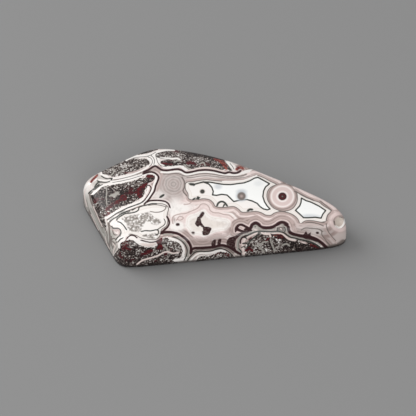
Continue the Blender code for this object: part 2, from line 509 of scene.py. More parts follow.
AREAS: dict[Zone, tuple[Outline, ...]] = {
    # Nests of dark crystal.
    Zone.NEST: (
        ((90, 195.6), (94, 192.4), (98, 189.4), (101.4, 186.6), (107, 185), (113, 184.4), (119, 183.4),
         (125, 182), (131, 180.8), (136, 179.2), (140, 177.6), (143.6, 178), (145.4, 175.8), (148, 174.4),
         (151, 174.2), (153.6, 175.8), (152.8, 178.4), (150, 181), (147.2, 183), (147, 186), (144.6, 190),
         (143.8, 194), (141, 197.4), (137.6, 199.4), (132.4, 202.2), (126, 204.6), (121, 206.6),
         (116, 209.6), (111, 212.8), (106, 214.8), (104.2, 217), (105.2, 222), (106, 228), (103.6, 230.4),
         (99.4, 222), (96, 213), (92.4, 203)),
        ((101.2, 172.4), (103, 166), (110, 157), (118, 152), (125, 152), (128.4, 158), (132, 157.8),
         (138, 158.2), (144, 157.8), (148, 160), (149.4, 162.6), (147, 165), (142, 167.4), (136, 170),
         (130, 172.4), (124, 174.2), (117, 175.8), (112.4, 176.4), (109.6, 175.2), (106, 174.2)),
        ((136, 154.2), (142, 153.6), (148, 152.6), (153, 150.4), (158, 148.8), (156, 144), (146, 146),
         (136, 150)),
        ((154.6, 153.6), (160, 151.4), (168, 150), (174, 149.6), (178, 144), (190, 142), (205, 144),
         (217, 148), (226, 154), (230, 161), (232, 169), (229, 170), (226, 168.6), (221, 169.6),
         (214, 168), (206, 166.6), (199, 167), (193, 168.6), (188.4, 169.4), (184.6, 166.6),
         (181.4, 165.2), (175, 165.8), (168, 166), (163, 164.2), (160, 161.4), (163, 159.6), (171, 159.2),
         (175.6, 158), (166, 157), (158, 157.4)),
        ((119.8, 242.6), (124, 240.4), (129, 239.4), (133.4, 240), (138, 243.6), (144, 246.4),
         (151, 246.6), (156, 245), (160, 241), (163.6, 237.4), (167.6, 237.6), (170, 239.6), (175, 241),
         (179.6, 243.6), (181.6, 248), (181.8, 253), (180, 257.4), (176, 259.4), (174, 268), (120, 272),
         (112.4, 258), (117, 249.6)),
        ((196.6, 259), (200, 255.6), (206, 255.4), (212, 254.2), (217, 251.8), (222, 251.2), (228, 252.8),
         (234, 256.6), (236, 262), (206, 268), (196, 266)),
        ((244.4, 256), (246.4, 251), (245.6, 247), (248.4, 243.4), (252, 240), (255.6, 236.6), (258, 233),
         (259, 231.4), (263, 233.4), (269, 233), (275, 232.6), (281.6, 232.8), (284.4, 235.8),
         (288.6, 238.6), (293, 239.2), (297, 239), (302, 239.8), (308, 241), (314, 243), (319.6, 246),
         (326, 251), (314, 260), (270, 264)),
    ),
    # The pale frosted nests.
    Zone.FROST: (
        ((121.5, 218.4), (126, 215.6), (131, 214.6), (136, 213.8), (141, 213), (145, 212.4),
         (148.6, 211.6), (151.4, 215), (155.6, 217.6), (160.6, 220.4), (159.4, 223), (154, 224.2),
         (149.6, 222), (146, 220.6), (143.4, 223.4), (141.6, 227.4), (139.6, 231), (134.6, 231.4),
         (129.6, 230.4), (127, 227), (125.4, 222.4)),
        ((142, 235.4), (146, 233.4), (149, 234.2), (153, 232.6), (157, 234), (155, 237.8), (149, 238.2)),
    ),
    # White zones that the ponds lie in, closed by the thin scalloped line.
    Zone.MILK: (
        ((186, 181.7), (192, 180.8), (199, 179.6), (206, 178.9), (214, 179.8), (224, 180.6), (234, 180.6),
         (243, 179.4), (249, 176.8), (255, 174.6), (262, 176.4), (270, 180.6), (276.5, 184), (271, 186.6),
         (267.4, 191), (266.8, 196.4), (268.4, 201.4), (272.2, 206.4), (277.4, 209.2), (284, 210.2),
         (290.6, 208.6), (294.8, 204.4), (296.6, 199), (296.2, 193.6), (294.6, 190), (302, 194.8),
         (312, 199.4), (318.6, 201.4), (322.4, 204.4), (331.2, 210.2), (330, 212.2), (327.4, 214.6),
         (326.2, 218.6), (325.2, 222.4), (319, 221.8), (311, 220.4), (305, 220.6), (299.6, 223.8),
         (297.6, 219.4), (293.4, 215.2), (287, 212.4), (280, 211.4), (274.4, 212.6), (270.4, 215),
         (265, 214.8), (260.6, 212.4), (255, 211.2), (247.6, 211.8), (241.2, 211.8), (237.6, 208.8),
         (233, 206.4), (226, 207), (219.6, 207.2), (214.6, 206), (212.4, 202.4), (208.6, 199.4),
         (203, 198.6), (197, 199.2), (191.6, 199.6), (187.6, 198), (187.2, 193.5), (184.8, 189),
         (184.4, 184.6)),
        ((108.4, 224), (110.4, 220.4), (116, 215.8), (123, 212), (131, 208.8), (139, 206), (148, 203.6),
         (156, 202.8), (164, 203.6), (168.4, 207.6), (167, 214), (167.6, 220), (166.2, 225.6),
         (161.4, 229.2), (160, 234.6), (156, 239), (148, 239.4), (141, 238), (135, 235), (129.4, 234),
         (125.4, 236), (121, 237), (117, 239.4), (120, 234.6), (119.4, 229), (112.6, 227.4)),
    ),
    # The milky ponds, whose shores run straight from point to point.
    Zone.POND: (
        ((203, 181.5), (209, 181.6), (216, 182.8), (223, 183.9), (230, 184.1), (237, 183.2),
         (243.5, 182.4), (249.5, 180.2), (254, 177.6), (257.4, 176.9), (262.4, 179.6), (269, 183.2),
         (265, 186.4), (263.1, 190.4), (262.3, 196), (264.1, 201.4), (266.6, 205.4), (269.6, 208.5),
         (266.8, 209.4), (263, 208.4), (259.6, 206.2), (256.6, 202.8), (251.6, 200.4), (246.4, 199),
         (240, 199.6), (233.2, 201), (230.2, 198), (226.6, 194.6), (221, 193.8), (216, 194.9),
         (212, 194.4), (212.8, 191), (211.4, 187), (208.4, 183.6)),
        ((300.9, 197.6), (305.8, 200.2), (310.6, 201.7), (318.2, 205.4), (325.2, 210), (322.4, 213.4),
         (320.6, 217.6), (315, 216.8), (308, 217.2), (303, 217.2), (299, 213.4), (295, 209.8),
         (299.2, 205.4), (300.6, 201.6)),
    ),
    # The cream heart of the stone, which its finest bands run round.
    Zone.HEART: (
        ((185, 217), (188.6, 213.6), (193.6, 212.2), (198, 210.2), (202, 207.8), (205.6, 208.6),
         (208, 211.6), (211.6, 214.4), (217, 215.4), (223, 216.4), (228.6, 218), (231.4, 221.6),
         (230.4, 226.4), (226.4, 230.6), (220, 231.8), (213.6, 233.2), (208.4, 236), (203, 237.4),
         (197.4, 235.8), (193, 236), (189.4, 234), (186.4, 229.8), (183.8, 226), (184.4, 221)),
        ((171.6, 209), (176, 204.6), (182, 203), (186, 206), (190, 207.4), (188, 210.4), (181, 212.6),
         (174, 214.8), (171.6, 219), (172.6, 223.6), (178, 221), (183, 222.4), (184, 227), (180.6, 229.6),
         (174, 229.2), (169.6, 228), (170, 221), (169.6, 214)),
    ),
    # Solid patches of deep red.
    Zone.RED: (
        ((135, 190.4), (138, 187), (142, 184), (145.6, 181.8), (148, 182.4), (146, 185), (143.4, 188.4),
         (142, 191), (142, 194.4), (139.6, 197.4), (137.4, 196.6), (136, 194)),
        ((155, 240.8), (158, 239), (161.6, 237.2), (162.4, 239.6), (161, 242.4), (162.4, 246),
         (162.6, 248.4), (158.4, 249.8), (155.4, 247.6), (157, 244)),
        ((116.8, 202.6), (119, 197.6), (121, 194.4), (125, 194.6), (126.6, 197.6), (124.4, 200.6),
         (121, 200.4), (118, 203.4)),
    ),
    # Clusters of brown.
    Zone.BROWN: (
        ((200.2, 231.8), (202.6, 230), (202.2, 227), (204.8, 226.2), (208.6, 226.6), (211, 227.8),
         (209.8, 231), (208.2, 234.2), (204.2, 235), (201.6, 233.8)),
        ((194.6, 222.6), (196.2, 219.4), (197, 216.4), (199.6, 216.4), (200.4, 219.4), (201, 222),
         (203, 224.6), (204.4, 227), (201.4, 226.6), (199.4, 225), (197.6, 226.4), (195.6, 225)),
        ((226, 244), (227, 239.4), (229.6, 236.8), (234.4, 235.4), (239, 232.4), (244, 231), (250, 230.4),
         (246, 232.6), (241, 234.4), (237, 237.6), (234.8, 242), (234.8, 247), (237.4, 252), (234, 250.6),
         (230, 247.4)),
        ((299.6, 234.4), (303.4, 233.4), (305.6, 230.4), (307.2, 233.6), (310.6, 231.4), (310.6, 235),
         (316, 237.6), (321, 241.4), (316.6, 241.6), (310.6, 239.6), (304, 238.2)),
        ((211.2, 245.6), (211, 242.4), (212.6, 239.4), (215.2, 239), (215.4, 242), (214.6, 246)),
        ((217, 245), (217, 241), (218.4, 238.4), (221, 238.4), (220.6, 241.4), (219.6, 245)),
    ),
}

STROKES: dict[Line, tuple[Stroke, ...]] = {
    # Soft grey bands beside the dark ones, the far arcs round the tip, and painted shade in the tip's
    # dimple.
    Line.ASH: (
        Stroke(0.26, (
            (192, 252), (196, 249.6), (203, 249.1), (210, 248.8), (216.4, 247.6), (222, 246.7),
            (227, 248.4), (233, 252.4))),
        Stroke(0.40, ((237.4, 253), (238, 249), (237.8, 244.4), (239, 240.6), (241.4, 237.6))),
        Stroke(0.26, ((181.6, 177), (183.8, 181), (184.2, 186), (182.6, 190.6), (186, 195))),
        Stroke(0.18, (
            (330.4, 210.8), (327.4, 214.4), (326, 219), (325.9, 225), (327.6, 230.6), (331, 235.6),
            (335, 240))),
        Stroke(0.18, ((321, 230), (321.6, 234.6), (325, 239.4), (329, 244))),
        Stroke(0.80, ((324, 247.4), (331, 246), (337.6, 244.2), (342.6, 240.8))),
        Stroke(0.20, ((300, 224.2), (305, 222.2), (311, 221.8), (317, 223), (323, 225.4))),
        Stroke(0.22, ((301, 229.4), (304.6, 227.5), (310, 227.8), (318, 228.6), (322, 231))),
        Stroke(0.18, ((150, 211), (155, 211.8), (161, 211), (165, 208.4), (165.8, 205.6))),
        Stroke(0.16, ((148, 204.9), (154, 204.2), (160, 204.9), (165, 206.2))),
        Stroke(0.20, ((294, 191), (300, 193.4), (306, 196.6), (312.4, 199.2))),
        Stroke(0.20, ((319.6, 200.4), (325, 204.6), (331.2, 209.8))),
        Stroke(0.50, ((88.6, 212), (92, 220), (96.6, 229), (101, 238))),
        Stroke(0.30, ((108, 222.6), (109, 231), (109.4, 240), (108.6, 249))),
        Stroke(0.26, ((82, 192), (84, 204), (89, 217), (96, 231))),
        Stroke(0.34, ((89, 193), (91, 202), (95, 212), (99.4, 222), (103, 232))),
        Stroke(0.20, ((86, 200), (88, 208), (92, 217), (97, 227), (102, 236), (107, 245))),
        Stroke(0.18, ((103.8, 226), (106.4, 233), (107, 241), (109.6, 249))),
        Stroke(0.18, ((111, 236), (110.8, 242), (112, 248))),
        Stroke(0.22, ((110.4, 240), (112.6, 238), (115.4, 239), (116, 242))),
        Stroke(0.22, ((112, 230), (113.6, 234), (116.6, 234.4))),
        Stroke(0.22, ((112.4, 241), (114.4, 243.4), (113, 246.4))),
        Stroke(0.22, ((134.8, 184.8), (138.6, 183), (141, 181.4))),
        Stroke(0.90, ((279, 228.6), (280.6, 227.8), (282.6, 228.8))),
        Stroke(0.34, ((254.2, 225.4), (255.4, 226.8))),
        Stroke(0.16, (
            (163, 173.6), (170, 173.4), (177, 173), (184, 175.4), (191, 175), (198, 173.6), (206, 173.1),
            (214, 173.9), (222, 175.3), (230, 175.9), (238, 175.9), (246, 174))),
        Stroke(0.10, (
            (186, 177.2), (193, 176.7), (200, 175.6), (207, 175.3), (215, 176), (223, 177.2),
            (232, 177.6), (241, 177.4), (249, 175.6))),
        # Painted shade on the upper inner wall of the tip's dimple.
        Stroke(0.18, ((334.2, 223.6), (333.8, 220.6), (335.2, 217.8), (338, 216.4), (341.6, 216.8))),
    ),
    # Pale grey-green bands.
    Line.SILVER: (
        Stroke(0.24, (
            (163, 234.4), (168, 234), (173.4, 234.4), (179, 237.2), (184, 241.4), (187.4, 246.4),
            (188.2, 252), (186.6, 258))),
        Stroke(0.22, (
            (250.6, 231.2), (252.4, 228), (253.2, 225.8), (255, 224.6), (257, 226), (258.4, 228.6),
            (262, 229.4), (268, 229.4), (273, 228.8), (276, 226.8), (278.4, 225), (281.6, 224.2),
            (284.6, 225.4), (286, 228), (286.4, 231), (288.4, 233.8), (292, 235.4), (297, 236.6),
            (303, 238.2), (309, 239.2), (314.6, 241), (320, 244.6))),
        Stroke(0.34, (
            (252, 231.8), (246, 233.6), (240.6, 236.2), (237.6, 239.8), (236.8, 244), (237.6, 249),
            (240, 253.6))),
        Stroke(0.36, ((160, 245.6), (163, 245), (166, 247.6), (167.6, 251), (170.6, 253))),
        Stroke(0.30, ((254.6, 245.6), (259.4, 244), (263, 241.8), (266.4, 240.6))),
        Stroke(0.26, ((269.6, 237), (270.6, 241.6), (272.4, 246), (274, 250.6))),
        Stroke(0.30, ((259, 247.4), (262.4, 250), (264, 253))),
        Stroke(0.30, ((282, 244.6), (286, 243.4), (288.6, 245))),
        Stroke(0.18, ((105.8, 186.6), (106.2, 192), (105.8, 198), (106.4, 204))),
        Stroke(0.60, ((111, 195.4), (114, 194.4), (117, 192.6))),
        Stroke(0.50, ((85, 199.6), (85.6, 204), (87, 208.4))),
        Stroke(0.34, ((90.6, 208), (95, 216), (99, 225), (101.8, 231))),
        Stroke(0.36, ((103.2, 228), (104.8, 235), (106, 242))),
        Stroke(0.40, ((114, 246.4), (115, 248.6), (113, 252), (111.6, 254))),
        Stroke(0.20, ((118, 172.6), (122, 170.2), (126, 168.6))),
        Stroke(0.24, ((112.4, 168), (113, 172), (110.4, 175))),
        Stroke(0.26, ((199, 163.4), (203, 162), (204.4, 164.6))),
        Stroke(0.26, ((174, 161.6), (178, 160), (181, 161))),
        Stroke(0.30, ((184, 164.6), (186.6, 167.4), (190, 168.4))),
    ),
    # Fine rose lines between the pale bands.
    Line.ROSE: (
        Stroke(0.20, (
            (188, 211.6), (193, 209.8), (197.6, 207.4), (200.4, 203.9), (205, 203.6), (208.4, 206.4),
            (209.6, 210), (213.4, 212.2), (218.4, 212.4), (223, 214), (228.6, 214.8), (232.4, 217.6))),
        Stroke(0.18, ((183.6, 204), (188.4, 203.4), (192, 200.8), (197, 199.9), (203, 200.4))),
        Stroke(0.20, (
            (172.4, 223), (171.6, 218.6), (173.6, 215.4), (179, 213.6), (185, 213), (190, 211))),
        Stroke(0.18, ((176, 219.6), (179, 216), (183, 217.4), (180, 219.6), (176.6, 219))),
        Stroke(0.22, (
            (192.6, 238), (196.4, 241.6), (202, 242.8), (208, 241.4), (212, 237.6), (217, 235.6),
            (223, 236.4), (228, 234), (231, 229), (231.6, 223.6))),
        Stroke(0.18, (
            (196, 237.6), (200, 239.6), (205, 239.4), (210, 236.4), (215, 233.8), (221, 233.4))),
        Stroke(0.22, (
            (239.6, 214), (246, 214.6), (253, 213.8), (259, 216.4), (264, 219.6), (269, 219.8),
            (274, 216.8), (280, 214.6), (287, 216), (291.6, 220), (294, 226), (296, 231))),
        Stroke(0.24, (
            (243, 219.6), (249.6, 217.8), (256, 217.2), (261, 220.6), (266, 222.8), (271.4, 221.8),
            (277, 218.8), (283, 217.6), (289, 219.6), (292.4, 224.6), (292.6, 229.4), (297, 232.4))),
        Stroke(0.20, ((253, 175.6), (247, 178), (240, 179), (230, 179.2), (220, 178.8))),
        Stroke(0.20, ((186, 179.6), (193, 179.3), (200, 178), (206, 177.4), (214, 178.6), (224, 179.6))),
        Stroke(0.24, ((114.6, 178.9), (119, 178.7), (123.6, 178.4))),
        Stroke(0.24, ((114.6, 181.4), (120, 181), (126, 179.9))),
        Stroke(0.26, ((128, 172.6), (134, 171.4), (140, 169.6), (146, 167))),
        Stroke(0.24, ((325, 229), (327.6, 233), (331.6, 238), (335.6, 242.6))),
        Stroke(0.22, ((331, 211.6), (333.6, 209.8), (338, 210.2))),
        Stroke(0.22, ((112.6, 229.6), (116.4, 231), (118.4, 229.8))),
        Stroke(0.30, ((156.6, 169), (161, 172), (160.6, 177), (158.6, 184), (156.6, 190))),
        Stroke(0.50, ((246.4, 240.4), (249, 239.4), (251.6, 237.4))),
        Stroke(0.34, ((300, 241), (305.6, 242.6))),
    ),
    # White bands, and a painted highlight in the tip's dimple.
    Line.WHITE: (
        Stroke(0.34, ((100.4, 173.4), (103.4, 175), (107, 176))),
        Stroke(0.30, (
            (108.4, 178.6), (112.6, 178), (117.4, 177.6), (122, 176.6), (128, 175.2), (134, 173.2),
            (140, 170.8), (145.4, 167.8), (150, 164.6))),
        Stroke(0.26, (
            (98.6, 179.4), (103, 180), (108, 180.7), (113, 180.9), (118, 180), (123, 179), (129, 177.6),
            (135, 176), (141, 174), (147, 173))),
        Stroke(0.32, (
            (92.4, 193.6), (96, 190.4), (99.4, 187), (102.6, 184.9), (108, 183.4), (114, 182.8),
            (120, 181.8), (126, 180.4), (133, 178.4), (139, 176.2), (143.6, 174.8))),
        Stroke(0.36, (
            (144, 174.8), (148, 173.6), (152.4, 173.4), (155.5, 176.2), (155.2, 180), (153.2, 184.4),
            (152.5, 188.4), (150.2, 192.8), (147.4, 197.4), (144.6, 201), (140, 203.4))),
        Stroke(0.32, ((148.2, 186.6), (147.4, 189.6), (145.8, 193.2))),
        Stroke(0.32, (
            (144.6, 195), (142.4, 198.6), (139, 201.2), (134, 203.3), (128, 205.6), (122, 208.2),
            (116.6, 211.2), (112, 214), (107, 216.8), (104.8, 217.4))),
        Stroke(0.30, (
            (107.8, 221), (112, 217.6), (117, 214.4), (121, 212), (127, 208.9), (133, 206.6),
            (139, 204.3), (145, 202.9))),
        Stroke(0.36, (
            (126, 159.4), (130, 157.4), (134, 156.3), (140, 155.6), (146, 155.2), (151, 153.8),
            (156, 151.8), (162, 150.2), (168, 149.4), (173, 149.6))),
        Stroke(0.34, (
            (157, 158.5), (161, 157.7), (166, 157.8), (171, 158.2), (176, 157.9), (179, 158.8))),
        Stroke(0.60, ((148, 157.4), (151, 159.6), (152, 163))),
        Stroke(0.85, ((153, 155.4), (154.4, 159.4), (155.4, 163.4))),
        Stroke(0.40, (
            (158, 160), (160.4, 164), (164, 166.8), (170, 167.2), (176, 166.2), (180.4, 166),
            (183.4, 168.2), (186.6, 169.8))),
        Stroke(0.32, (
            (160.6, 171.6), (167, 172), (174, 171.1), (180, 171.4), (185, 174), (190, 173.6), (198, 172),
            (206, 171.5), (214, 172.2), (221, 173.7), (228, 174.2), (236, 174.3), (243, 172.6),
            (249, 171))),
        # Painted highlight: the bright crescent on the lower inner wall of the tip's dimple.
        Stroke(0.36, ((335.4, 225.8), (338.4, 227), (341.8, 225.6), (343.8, 222.4), (344.2, 218.6))),
        Stroke(0.30, ((222, 181.2), (233, 181), (243, 180), (250, 177.6), (256, 175.2))),
        Stroke(0.40, (
            (169, 237.6), (172.6, 238.6), (176.6, 240.2), (180.6, 242.9), (183, 246.8), (183.5, 251),
            (182.6, 255))),
        Stroke(0.55, ((184.6, 257.6), (180.4, 259.4), (174.4, 259.8))),
        Stroke(0.56, ((129.4, 237), (132.4, 237.4), (135, 239.6), (139, 241.8), (144, 243.4))),
        Stroke(0.34, (
            (189.6, 260.4), (193.6, 256), (198.6, 253), (205, 252.7), (211, 252.2), (216, 250.6),
            (221, 249.9), (224.4, 251))),
        Stroke(0.40, ((118.6, 246.6), (118.6, 242.8), (121, 240.6), (124.4, 238.6))),
        Stroke(0.44, ((116.6, 239.6), (120.4, 237), (124, 235.6), (127, 234))),
        Stroke(0.90, ((227.6, 162.4), (231.4, 165.6), (234, 168.6))),
        Stroke(0.50, ((83.2, 189.6), (85, 185.6), (90, 181.8), (95, 178.6))),
        Stroke(0.36, ((241, 172.4), (246, 170.4), (251, 169.6))),
        Stroke(0.30, ((276, 239), (276.3, 239.2))),
        Stroke(0.26, ((279.2, 239.2), (279.4, 239.3))),
        Stroke(0.22, ((278, 241.6), (278.2, 241.8))),
        Stroke(0.26, ((121, 197.6), (122, 198))),
    ),
    # Warm white bands and flecks.
    Line.BONE: (
        Stroke(0.15, ((92.6, 206), (95.4, 212), (98.4, 219), (101.6, 226))),
        Stroke(0.12, ((90.6, 214), (94, 221), (98, 229.6))),
        Stroke(0.14, ((104.6, 236), (106, 242), (109, 248.6))),
        Stroke(0.18, ((112.6, 243), (114.6, 246), (113.2, 250), (112.6, 253))),
        Stroke(0.20, ((84.6, 189), (84, 195), (85.4, 202), (86.4, 206))),
        Stroke(0.26, ((280.2, 228.1), (280.6, 228.5))),
        Stroke(0.30, ((254.4, 229), (255.8, 229.4))),
        Stroke(0.30, (
            (187, 170), (193, 169.2), (199, 167.8), (206, 167.2), (213, 168.2), (219, 169.8),
            (223, 170.8))),
        Stroke(0.50, ((142, 243.8), (148, 244.4), (153.4, 243.2))),
        Stroke(0.28, (
            (136.6, 263.8), (139.6, 261.4), (143, 259.4), (146, 258.6), (151, 257.2), (156, 255.7),
            (160, 253.8), (163.4, 251.8), (168, 251.4), (173, 252.9), (178, 251.8))),
        Stroke(0.30, ((244.6, 238), (248, 236.2), (252, 234.4), (257, 232.4))),
        Stroke(0.44, ((243.8, 239.4), (243, 242.6))),
        Stroke(0.50, ((242.4, 244.6), (242.4, 248.4), (243.4, 250.6))),
        Stroke(0.36, ((243.2, 253), (243.8, 254.2))),
        Stroke(0.36, ((261.6, 232.3), (264.8, 233.6), (269, 233.7), (269.8, 236))),
        Stroke(0.32, (
            (272, 232.8), (277, 232.6), (281.4, 232.9), (283.6, 235), (286.6, 237.4), (290, 239.2),
            (294.6, 240))),
        Stroke(0.22, ((302, 242), (304.6, 242.6))),
    ),
    # Brick and flesh-coloured stains.
    Line.BRICK: (
        Stroke(0.42, ((214.4, 158.6), (218, 160.2), (221.4, 162.6), (224, 165.6), (226, 168.4))),
        Stroke(0.16, ((219.6, 158.8), (223.4, 161.4), (227, 165.4))),
        Stroke(0.60, ((236.4, 168.6), (239.6, 166.8), (242, 167.8))),
        Stroke(0.44, ((90.5, 181.3), (93, 178.6), (96.5, 175))),
        Stroke(0.26, ((311, 244.4), (317, 246.4))),
        Stroke(0.34, ((274, 234.8), (278, 234.4), (281.6, 235.2))),
        Stroke(0.26, ((127, 238.8), (130.6, 239.4))),
        Stroke(0.24, ((105.4, 211.4), (108, 212.2))),
    ),
    # Red streaks in the nests.
    Line.RED: (
        Stroke(0.26, ((248.4, 239), (250.6, 237.4))),
        Stroke(0.60, ((106.4, 208.8), (109, 206.6), (113, 203.4), (117, 201.4))),
        Stroke(0.36, ((103.6, 215), (106, 214.6), (109, 213))),
        Stroke(0.44, ((125, 193.2), (130, 192.4), (136, 191.4))),
        Stroke(0.40, ((122, 248), (126, 247.9), (129.6, 248.8))),
        Stroke(0.30, ((119.4, 252), (119.8, 255), (121.6, 257.4))),
        Stroke(0.60, ((147.4, 175.4), (151.6, 175.6))),
        Stroke(0.60, ((141, 254.6), (146, 252), (151, 250.4))),
        Stroke(0.60, ((187, 162.6), (191, 162.2), (194.6, 163.6))),
        Stroke(0.40, ((161, 162.4), (166, 163.4), (171, 163.6))),
        Stroke(0.60, ((245.6, 249.6), (249, 248), (251, 250))),
        Stroke(0.44, ((266, 239.6), (268.6, 238))),
        Stroke(0.40, ((310, 244.8), (314, 245.6), (319, 247.4))),
    ),
    # Brown dots.
    Line.BROWN: (
        Stroke(0.66, ((202.4, 212.8), (201.2, 214.6), (200, 216.2))),
        Stroke(0.60, ((176.8, 224), (177.8, 224))),
        Stroke(0.62, ((192.2, 232.8), (193.2, 232.8))),
        Stroke(0.44, ((316.6, 232.4), (317.4, 232.4))),
        Stroke(0.55, ((110.4, 197.2), (111.8, 197.8))),
    ),
    # Thin dark lines.
    Line.HAIR: (
        Stroke(0.30, ((189, 183.3), (193, 183.9), (197, 182.9), (203, 181.4))),
        Stroke(0.52, ((190.4, 183.6), (193.4, 184.1))),
        Stroke(0.24, (
            (169, 235.7), (173, 236.5), (177, 238), (181.4, 240.8), (185, 245), (186.6, 250.2),
            (185.8, 255.4), (183.6, 259.6))),
        Stroke(0.25, (
            (187, 259.8), (191, 254.8), (195, 251.7), (200, 250.7), (206, 250.9), (212, 250.1),
            (217, 248.5), (222, 248.4), (227, 250.6), (232, 254.6))),
        Stroke(0.32, (
            (244, 236.7), (247.4, 234.7), (251, 233), (255.6, 231.2), (261, 230.8), (266, 231),
            (272, 231.2), (279, 231.1), (283.4, 232.4), (286.6, 234.6), (290, 236.6), (295, 237.8),
            (301, 239.3), (308, 240.8), (314, 243), (319, 246.4))),
        Stroke(0.26, ((258.4, 232), (255.6, 236), (251.4, 239.2), (248.4, 242.6), (247, 246))),
        Stroke(0.24, ((240.4, 255), (240.6, 251), (238.6, 248.4))),
        Stroke(0.30, ((242.6, 243), (245.6, 242.6), (247.4, 244))),
        Stroke(0.23, (
            (109, 221), (112.6, 218.4), (116.4, 216.2), (120, 213.5), (124, 211.6), (129, 210.4))),
        Stroke(0.23, (
            (107, 219.2), (111.4, 216.2), (116, 213), (122, 209.9), (128, 207.1), (134, 204.9),
            (140, 202.7), (144.6, 199.2))),
        Stroke(0.23, (
            (116, 219.6), (118, 217.4), (121, 215.3), (125, 213.2), (131, 212.4), (135.4, 211.3),
            (138, 209.4), (138.6, 207), (142, 205.4), (147, 204.4), (151, 203.2), (156, 203.2))),
        Stroke(0.24, ((131.6, 209.6), (134.6, 208))),
        Stroke(0.24, ((117.6, 221.2), (120.4, 222.4), (123.4, 225.4), (126, 229))),
        Stroke(0.22, (
            (111.4, 226), (113, 228), (117, 227.6), (119.7, 229.2), (120.5, 231.8), (119.4, 234.6),
            (117, 237), (115.4, 239.6))),
        Stroke(0.22, ((117.5, 241.4), (120, 238.6), (123.6, 237))),
        Stroke(0.23, (
            (141, 231), (145, 230.2), (150, 230.4), (156, 229.3), (158.2, 231.2), (157.2, 233.8),
            (155.4, 234.4))),
        Stroke(0.16, ((157, 229), (160, 227), (163.6, 224.4), (164.8, 221.4), (163.6, 218.6))),
        Stroke(0.24, ((94, 186.8), (97, 182.4), (101.4, 181.4))),
        Stroke(0.20, ((97, 180.2), (100, 181.4), (104.6, 181.9), (109, 181))),
        Stroke(0.26, ((88.2, 192.6), (91.6, 189.6), (95, 187), (98.4, 184.2))),
        Stroke(0.22, ((101, 175.6), (104, 177.5), (108, 178.3), (111.6, 177.6), (110.6, 179.2))),
        Stroke(0.38, ((216.6, 205), (218, 202.4), (221, 201), (224.2, 202.2), (226.4, 205))),
        Stroke(0.24, ((223.6, 204), (222.6, 206.2))),
        Stroke(0.44, ((247.6, 209.9), (249.4, 208.9), (251.4, 209.1))),
        Stroke(0.32, ((192.6, 199), (193.8, 198))),
        Stroke(0.34, ((196.6, 197.8), (198.6, 197))),
        Stroke(0.26, ((197.4, 196.4), (197.8, 198.4))),
        Stroke(0.44, ((160, 196.4), (162.8, 194.7))),
        Stroke(0.17, (
            (276.8, 230.6), (276.8, 228), (278.4, 226), (281.2, 225.2), (284, 226.6), (285, 229),
            (284.6, 231))),
        Stroke(0.14, ((90.4, 193.2), (94.6, 189), (98.6, 185.8), (102, 184))),
        Stroke(0.10, ((112, 182), (118, 181), (124, 179.8), (130, 178.4), (136, 176.6), (141.6, 174.8))),
        Stroke(0.10, (
            (110, 179.6), (115, 179.2), (121, 178), (127, 176.6), (133, 174.8), (139, 172.6),
            (144, 170.4))),
        Stroke(0.11, ((147.4, 156.4), (150.2, 157.6), (151.8, 160.2), (151.4, 163.4), (149, 166))),
        Stroke(0.12, ((150.6, 155), (153, 157.4), (154, 160.6), (153.4, 164))),
        Stroke(0.11, ((155, 154.6), (156.2, 158.6), (157.4, 162), (160.6, 165.2), (166, 166))),
        Stroke(0.10, ((156.8, 154.8), (158.4, 157.2), (163, 158.4), (170, 159))),
        Stroke(0.10, ((130, 158.2), (138, 156.6), (145, 156), (150, 154.6), (155.4, 151.6))),
        Stroke(0.16, ((247.4, 241), (251, 238.4), (254.6, 235.8), (257.4, 233.8))),
        Stroke(0.20, ((241, 247), (243.6, 246), (245, 247.4))),
        Stroke(0.14, ((242, 237.4), (244.4, 237), (246.4, 238.8))),
        Stroke(0.14, ((225.6, 162.6), (228.4, 166), (230.4, 169.4))),
        Stroke(0.12, ((229.6, 163), (232, 166), (233.4, 168.6))),
    ),
    # Dark bands, with the deepest colour in the stone.
    Line.MAROON: (
        Stroke(0.34, (
            (142.6, 173.4), (147, 172), (151.4, 171.6), (155.6, 173.4), (158.2, 177), (156.8, 181.5),
            (155, 186), (154, 190.5), (151, 195), (148, 199.4), (144, 203.4))),
        Stroke(0.30, (
            (144, 203.4), (146.6, 201.2), (150, 200.2), (155, 199.9), (160, 200.1), (164.6, 201),
            (168, 203.4), (169.4, 206.8))),
        Stroke(0.34, (
            (166.6, 216.4), (168.2, 219.5), (168.7, 223), (167, 226.5), (164, 229.2), (161, 232))),
        Stroke(0.50, (
            (161, 232.6), (165, 231.7), (171, 231.8), (177, 233.1), (182, 236), (186.6, 239.9),
            (189.6, 244.2), (190.6, 248.4), (190.2, 252.6))),
        Stroke(0.50, (
            (190.6, 250), (193.4, 247.9), (200, 247.5), (208, 247), (214.6, 246.2), (221, 244.8),
            (226.6, 246), (231.5, 248.6), (236, 251.5), (239.6, 253.4))),
        Stroke(0.60, (
            (248.4, 228.4), (250.4, 227.4), (251.6, 224.4), (255, 222.5), (258.2, 223.9), (260.6, 226.6),
            (266, 227.4), (271.4, 226.8), (275.2, 225), (278.2, 222.8), (281.4, 221.8), (285, 222.8),
            (287.6, 225.4), (288, 229), (289.6, 232), (293, 233.8), (298, 235), (304, 236), (310, 236.8),
            (316, 239), (321.2, 242.6), (326, 247))),
        Stroke(0.44, (
            (235.2, 230.2), (235.6, 227.4), (237.6, 225), (240.8, 224.2), (244.6, 225.8), (248.6, 228))),
        Stroke(0.42, ((236.6, 226.6), (237.6, 229.4), (241.4, 230.6), (245.6, 231.2), (250.4, 229.8))),
        Stroke(0.38, (
            (143.4, 171.3), (148, 169.3), (154.2, 165.6), (158, 167.4), (161.5, 169.5), (167, 169.9),
            (173, 168.9), (178, 168.8), (181.6, 170), (185, 172), (190, 171.6), (197, 170.1),
            (205, 169.4), (213, 170.2), (219, 171.6), (224.6, 172.8), (228.6, 171.6), (232.6, 172.6),
            (236.6, 172.3), (240, 170.4))),
        Stroke(0.24, (
            (125.4, 239.5), (127.6, 236.6), (130.4, 234.8), (134, 235.4), (138, 238.4), (143, 240.4),
